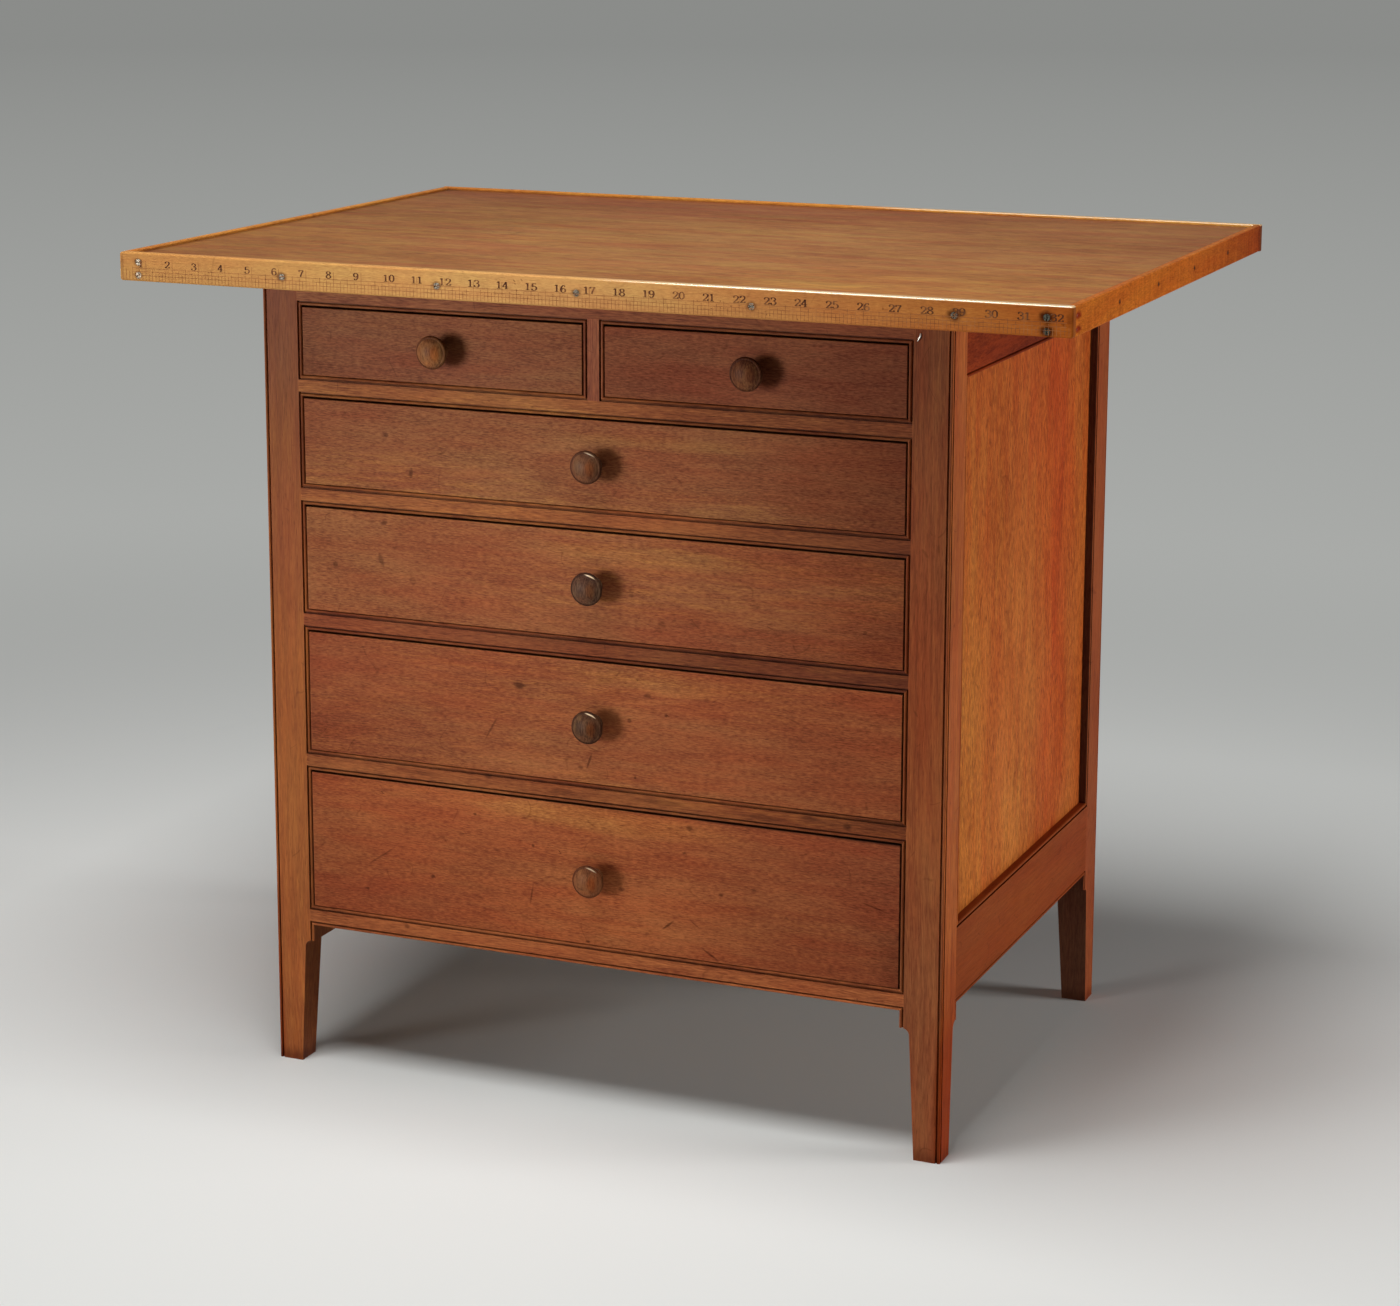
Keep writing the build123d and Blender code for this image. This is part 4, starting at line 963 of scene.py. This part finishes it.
LEVELS_LEFT_MARGIN = 0.5 * INCH           # how far in from the ruler's ends the long lines run
LEVELS_RIGHT_MARGIN = 0.2 * INCH
LAST_EIGHTH = 32 * 8 + 3
wobble = random.Random(5)
lines = bmesh.new()
for eighth in range(1, LAST_EIGHTH + 1):
    step = next(s for s in (8, 4, 2, 1) if eighth % s == 0)
    x = RULER_LOW.x + eighth * INCH / 8 + wobble.uniform(-0.1, 0.1) * MM
    top = LINE_TOPS[step] + wobble.uniform(-0.3, 0.3) * MM
    add_bar(lines, x - LINE_WIDTH / 2, x + LINE_WIDTH / 2, LINE_FOOT, top)
for level in LEVELS:
    left, right = RULER_LOW.x + LEVELS_LEFT_MARGIN, RULER_HIGH.x - LEVELS_RIGHT_MARGIN
    add_bar(lines, left, right, level, level + LINE_WIDTH)
make_piece(
    "ruler_lines", lines, ink("line_ink", (0.17, 0.055, 0.019), (0.34, 0.14, 0.045), 0.4, 0.7),
)

numerals = bmesh.new()
for number in range(1, 33):
    digits = str(number)
    start = RULER_LOW.x + number * INCH - DIGIT_HALF
    start -= DIGIT_ADVANCE / 2 if len(digits) == 2 else SINGLE_SHIFT
    for index, digit in enumerate(digits):
        foot = NUMERAL_FOOT + wobble.uniform(-0.2, 0.2) * MM
        corner = Vector((start + index * DIGIT_ADVANCE, 0, foot))
        for kind, *points in DIGITS[digit]:
            add_stroke(numerals, kind, points, corner)
        for centre in BALLS.get(digit, ()):
            add_ball(numerals, centre, corner)
make_piece(
    "ruler_numerals", numerals,
    ink("numeral_ink", (0.075, 0.024, 0.010), (0.24, 0.095, 0.033), 0.46, 0.72),
)

# ---------------------------------------------------------------- a bent pin under the ruler
PIN_HEAD = Vector((277.6, -249.5, 674.8))      # where it is stuck in, in millimetres
PIN_DROP = 6.4
PIN_LEAN = 2.6
PIN_BULGE = 0.5
PIN_RADIUS = 0.75
PIN_STEPS = 12
PIN_SIDES = 8


def add_pin():
    """A small bright pin that is stuck in the right post and bent down.

    It bulges towards the front in its upper part, and thins at both ends."""
    mesh = bmesh.new()
    rings = []
    for step in range(PIN_STEPS + 1):
        share = step / PIN_STEPS
        bend = math.sin(math.radians(-20 + 150 * share))
        centre = PIN_HEAD - Vector((PIN_LEAN * share ** 2, PIN_BULGE * bend, PIN_DROP * share))
        radius = PIN_RADIUS * math.sin(math.radians(25 + 150 * share)) ** 0.6
        turns = [math.tau * side / PIN_SIDES for side in range(PIN_SIDES)]
        rings.append([
            mesh.verts.new(MM * Vector((
                centre.x + radius * math.cos(turn),
                centre.y + 0.6 * radius * math.sin(turn),
                centre.z - 0.3 * radius * math.cos(turn),
            )))
            for turn in turns
        ])
    for lower, upper in zip(rings, rings[1:]):
        for side in range(PIN_SIDES):
            after = (side + 1) % PIN_SIDES
            mesh.faces.new((lower[side], lower[after], upper[after], upper[side]))
    mesh.faces.new(rings[0])
    mesh.faces.new(rings[-1])
    bright = (0.6, 0.57, 0.52)
    steel = metal("pin_steel", "X", (0.2, 0.3), (bright, bright), 0.35, (0.6, 0.55, 0.5))
    pin = make_piece("bent_pin", mesh, steel)
    for face in pin.data.polygons:
        face.use_smooth = True


add_pin()


# ---------------------------------------------------------------- floor, light and camera
PAPER_GREY = (0.99, 1.01, 0.975)          # the hue of the background
FLOOR_COLOUR = (0.78, 0.79, 0.77)
FLOOR_HALF = 60                           # metres from the floor's middle to its edges
# Painted light: the backdrop glows brightest round BRIGHT_PLACE and darker further off, in place of the
# studio light's falloff.
BRIGHT_PLACE = 0.9                        # metres in front of the desk's middle; the backdrop is
                                          # brightest there
NEAR_GREY, FAR_GREY = 0.46, 0.26          # the backdrop, 1.6 and 16 metres from that place
PAPER_END, BACKDROP_START = 1.2, 3.2      # between these distances the paper turns into it


def shown(graph):
    """1 for rays that show the background itself, 0 for those that only carry its light."""
    path = graph.node("LightPath", {}).outputs
    seen = graph.math("ADD", path["Is Camera Ray"], path["Is Glossy Ray"])
    return graph.math("ADD", seen, path["Is Transmission Ray"], clamp=True)


def add_floor():
    """Pale paper that turns into a grey background far from the desk, whose grey is painted light
    falling off with the distance from BRIGHT_PLACE.
    """
    graph = new_graph("floor_paper")
    parts = graph.split(graph.place())
    ahead = graph.math("ADD", parts[1], BRIGHT_PLACE)
    reach = graph.math("SQRT", graph.math(
        "ADD", graph.math("MULTIPLY", parts[0], parts[0]), graph.math("MULTIPLY", ahead, ahead)
    ))
    fall = graph.math("LOGARITHM", reach, 10)
    grey = graph.remap(fall, 0.2, 1.2, NEAR_GREY, FAR_GREY)
    backdrop = graph.node("Emission", {
        "Color": PAPER_GREY, "Strength": graph.math("MULTIPLY", shown(graph), grey),
    }).outputs[0]
    graph.finish(FLOOR_COLOUR, 0.9, shader={"Specular IOR Level": 0.1})
    far = graph.remap(reach, PAPER_END, BACKDROP_START, smooth=True)
    both = graph.node("MixShader", {0: far, 1: graph.shader.outputs[0], 2: backdrop}).outputs[0]
    graph.feed(graph.tree.nodes["Material Output"].inputs["Surface"], both)
    mesh = bmesh.new()
    bmesh.ops.create_grid(mesh, x_segments=1, y_segments=1, size=FLOOR_HALF)
    data = bpy.data.meshes.new("floor")
    mesh.to_mesh(data)
    mesh.free()
    floor = bpy.data.objects.new("floor", data)
    data.materials.append(graph.owner)
    bpy.context.scene.collection.objects.link(floor)


def add_softbox(name, place, target, width, height, power, spread=180):
    """A rectangular light that looks at target; spread is its beam in degrees."""
    data = bpy.data.lights.new(name, "AREA")
    data.shape = "RECTANGLE"
    data.size, data.size_y = width, height
    data.energy = power
    data.spread = math.radians(spread)
    light = bpy.data.objects.new(name, data)
    light.location = place
    light.rotation_euler = (Vector(target) - Vector(place)).to_track_quat("-Z", "Y").to_euler()
    light.visible_camera = False
    bpy.context.scene.collection.objects.link(light)


def add_world(light, background):
    """Even light from all round; camera, gloss and glass see the background's grey instead."""
    graph = Graph(bpy.data.worlds.new("studio"), "Background")
    graph.feed(graph.shader.inputs["Color"], PAPER_GREY)
    level = graph.remap(shown(graph), 0, 1, light, background)
    graph.feed(graph.shader.inputs["Strength"], level)
    bpy.context.scene.world = graph.owner


def add_camera(place, turn, down, roll, lens, shift):
    """A camera turned from +Y towards -X, tilted down and rolled, in degrees."""
    data = bpy.data.cameras.new("camera")
    data.sensor_width = 36
    data.lens = lens
    data.shift_y = shift
    data.clip_end = 200
    camera = bpy.data.objects.new("camera", data)
    camera.matrix_world = (
        Matrix.Translation(place)
        @ Euler((math.radians(90 - down), 0, math.radians(turn))).to_matrix().to_4x4()
        @ Matrix.Rotation(math.radians(roll), 4, "Z")
    )
    bpy.context.scene.collection.objects.link(camera)
    bpy.context.scene.camera = camera


add_floor()
add_softbox(
    "top_softbox", place=(-0.12, -0.6, 2.4), target=(-0.05, -0.1, 0.5), width=1.2, height=1.3,
    power=54,
)
add_softbox(
    "left_softbox", place=(-1.4, -1.95, 0.5), target=(0, -0.2, 0.58), width=0.9, height=0.8,
    power=3.1, spread=36,
)
add_softbox(
    "right_softbox", place=(2.9, 0.6, 0.7), target=(0.3, 0, 0.45), width=0.8, height=0.6, power=37,
)
add_world(light=0.015, background=0.27)
add_camera(
    place=(1.08934, -2.60697, 1.03866), turn=22.896, down=11.261, roll=0.147, lens=83.98,
    shift=-0.109,
)
bpy.context.scene.view_settings.view_transform = "Standard"
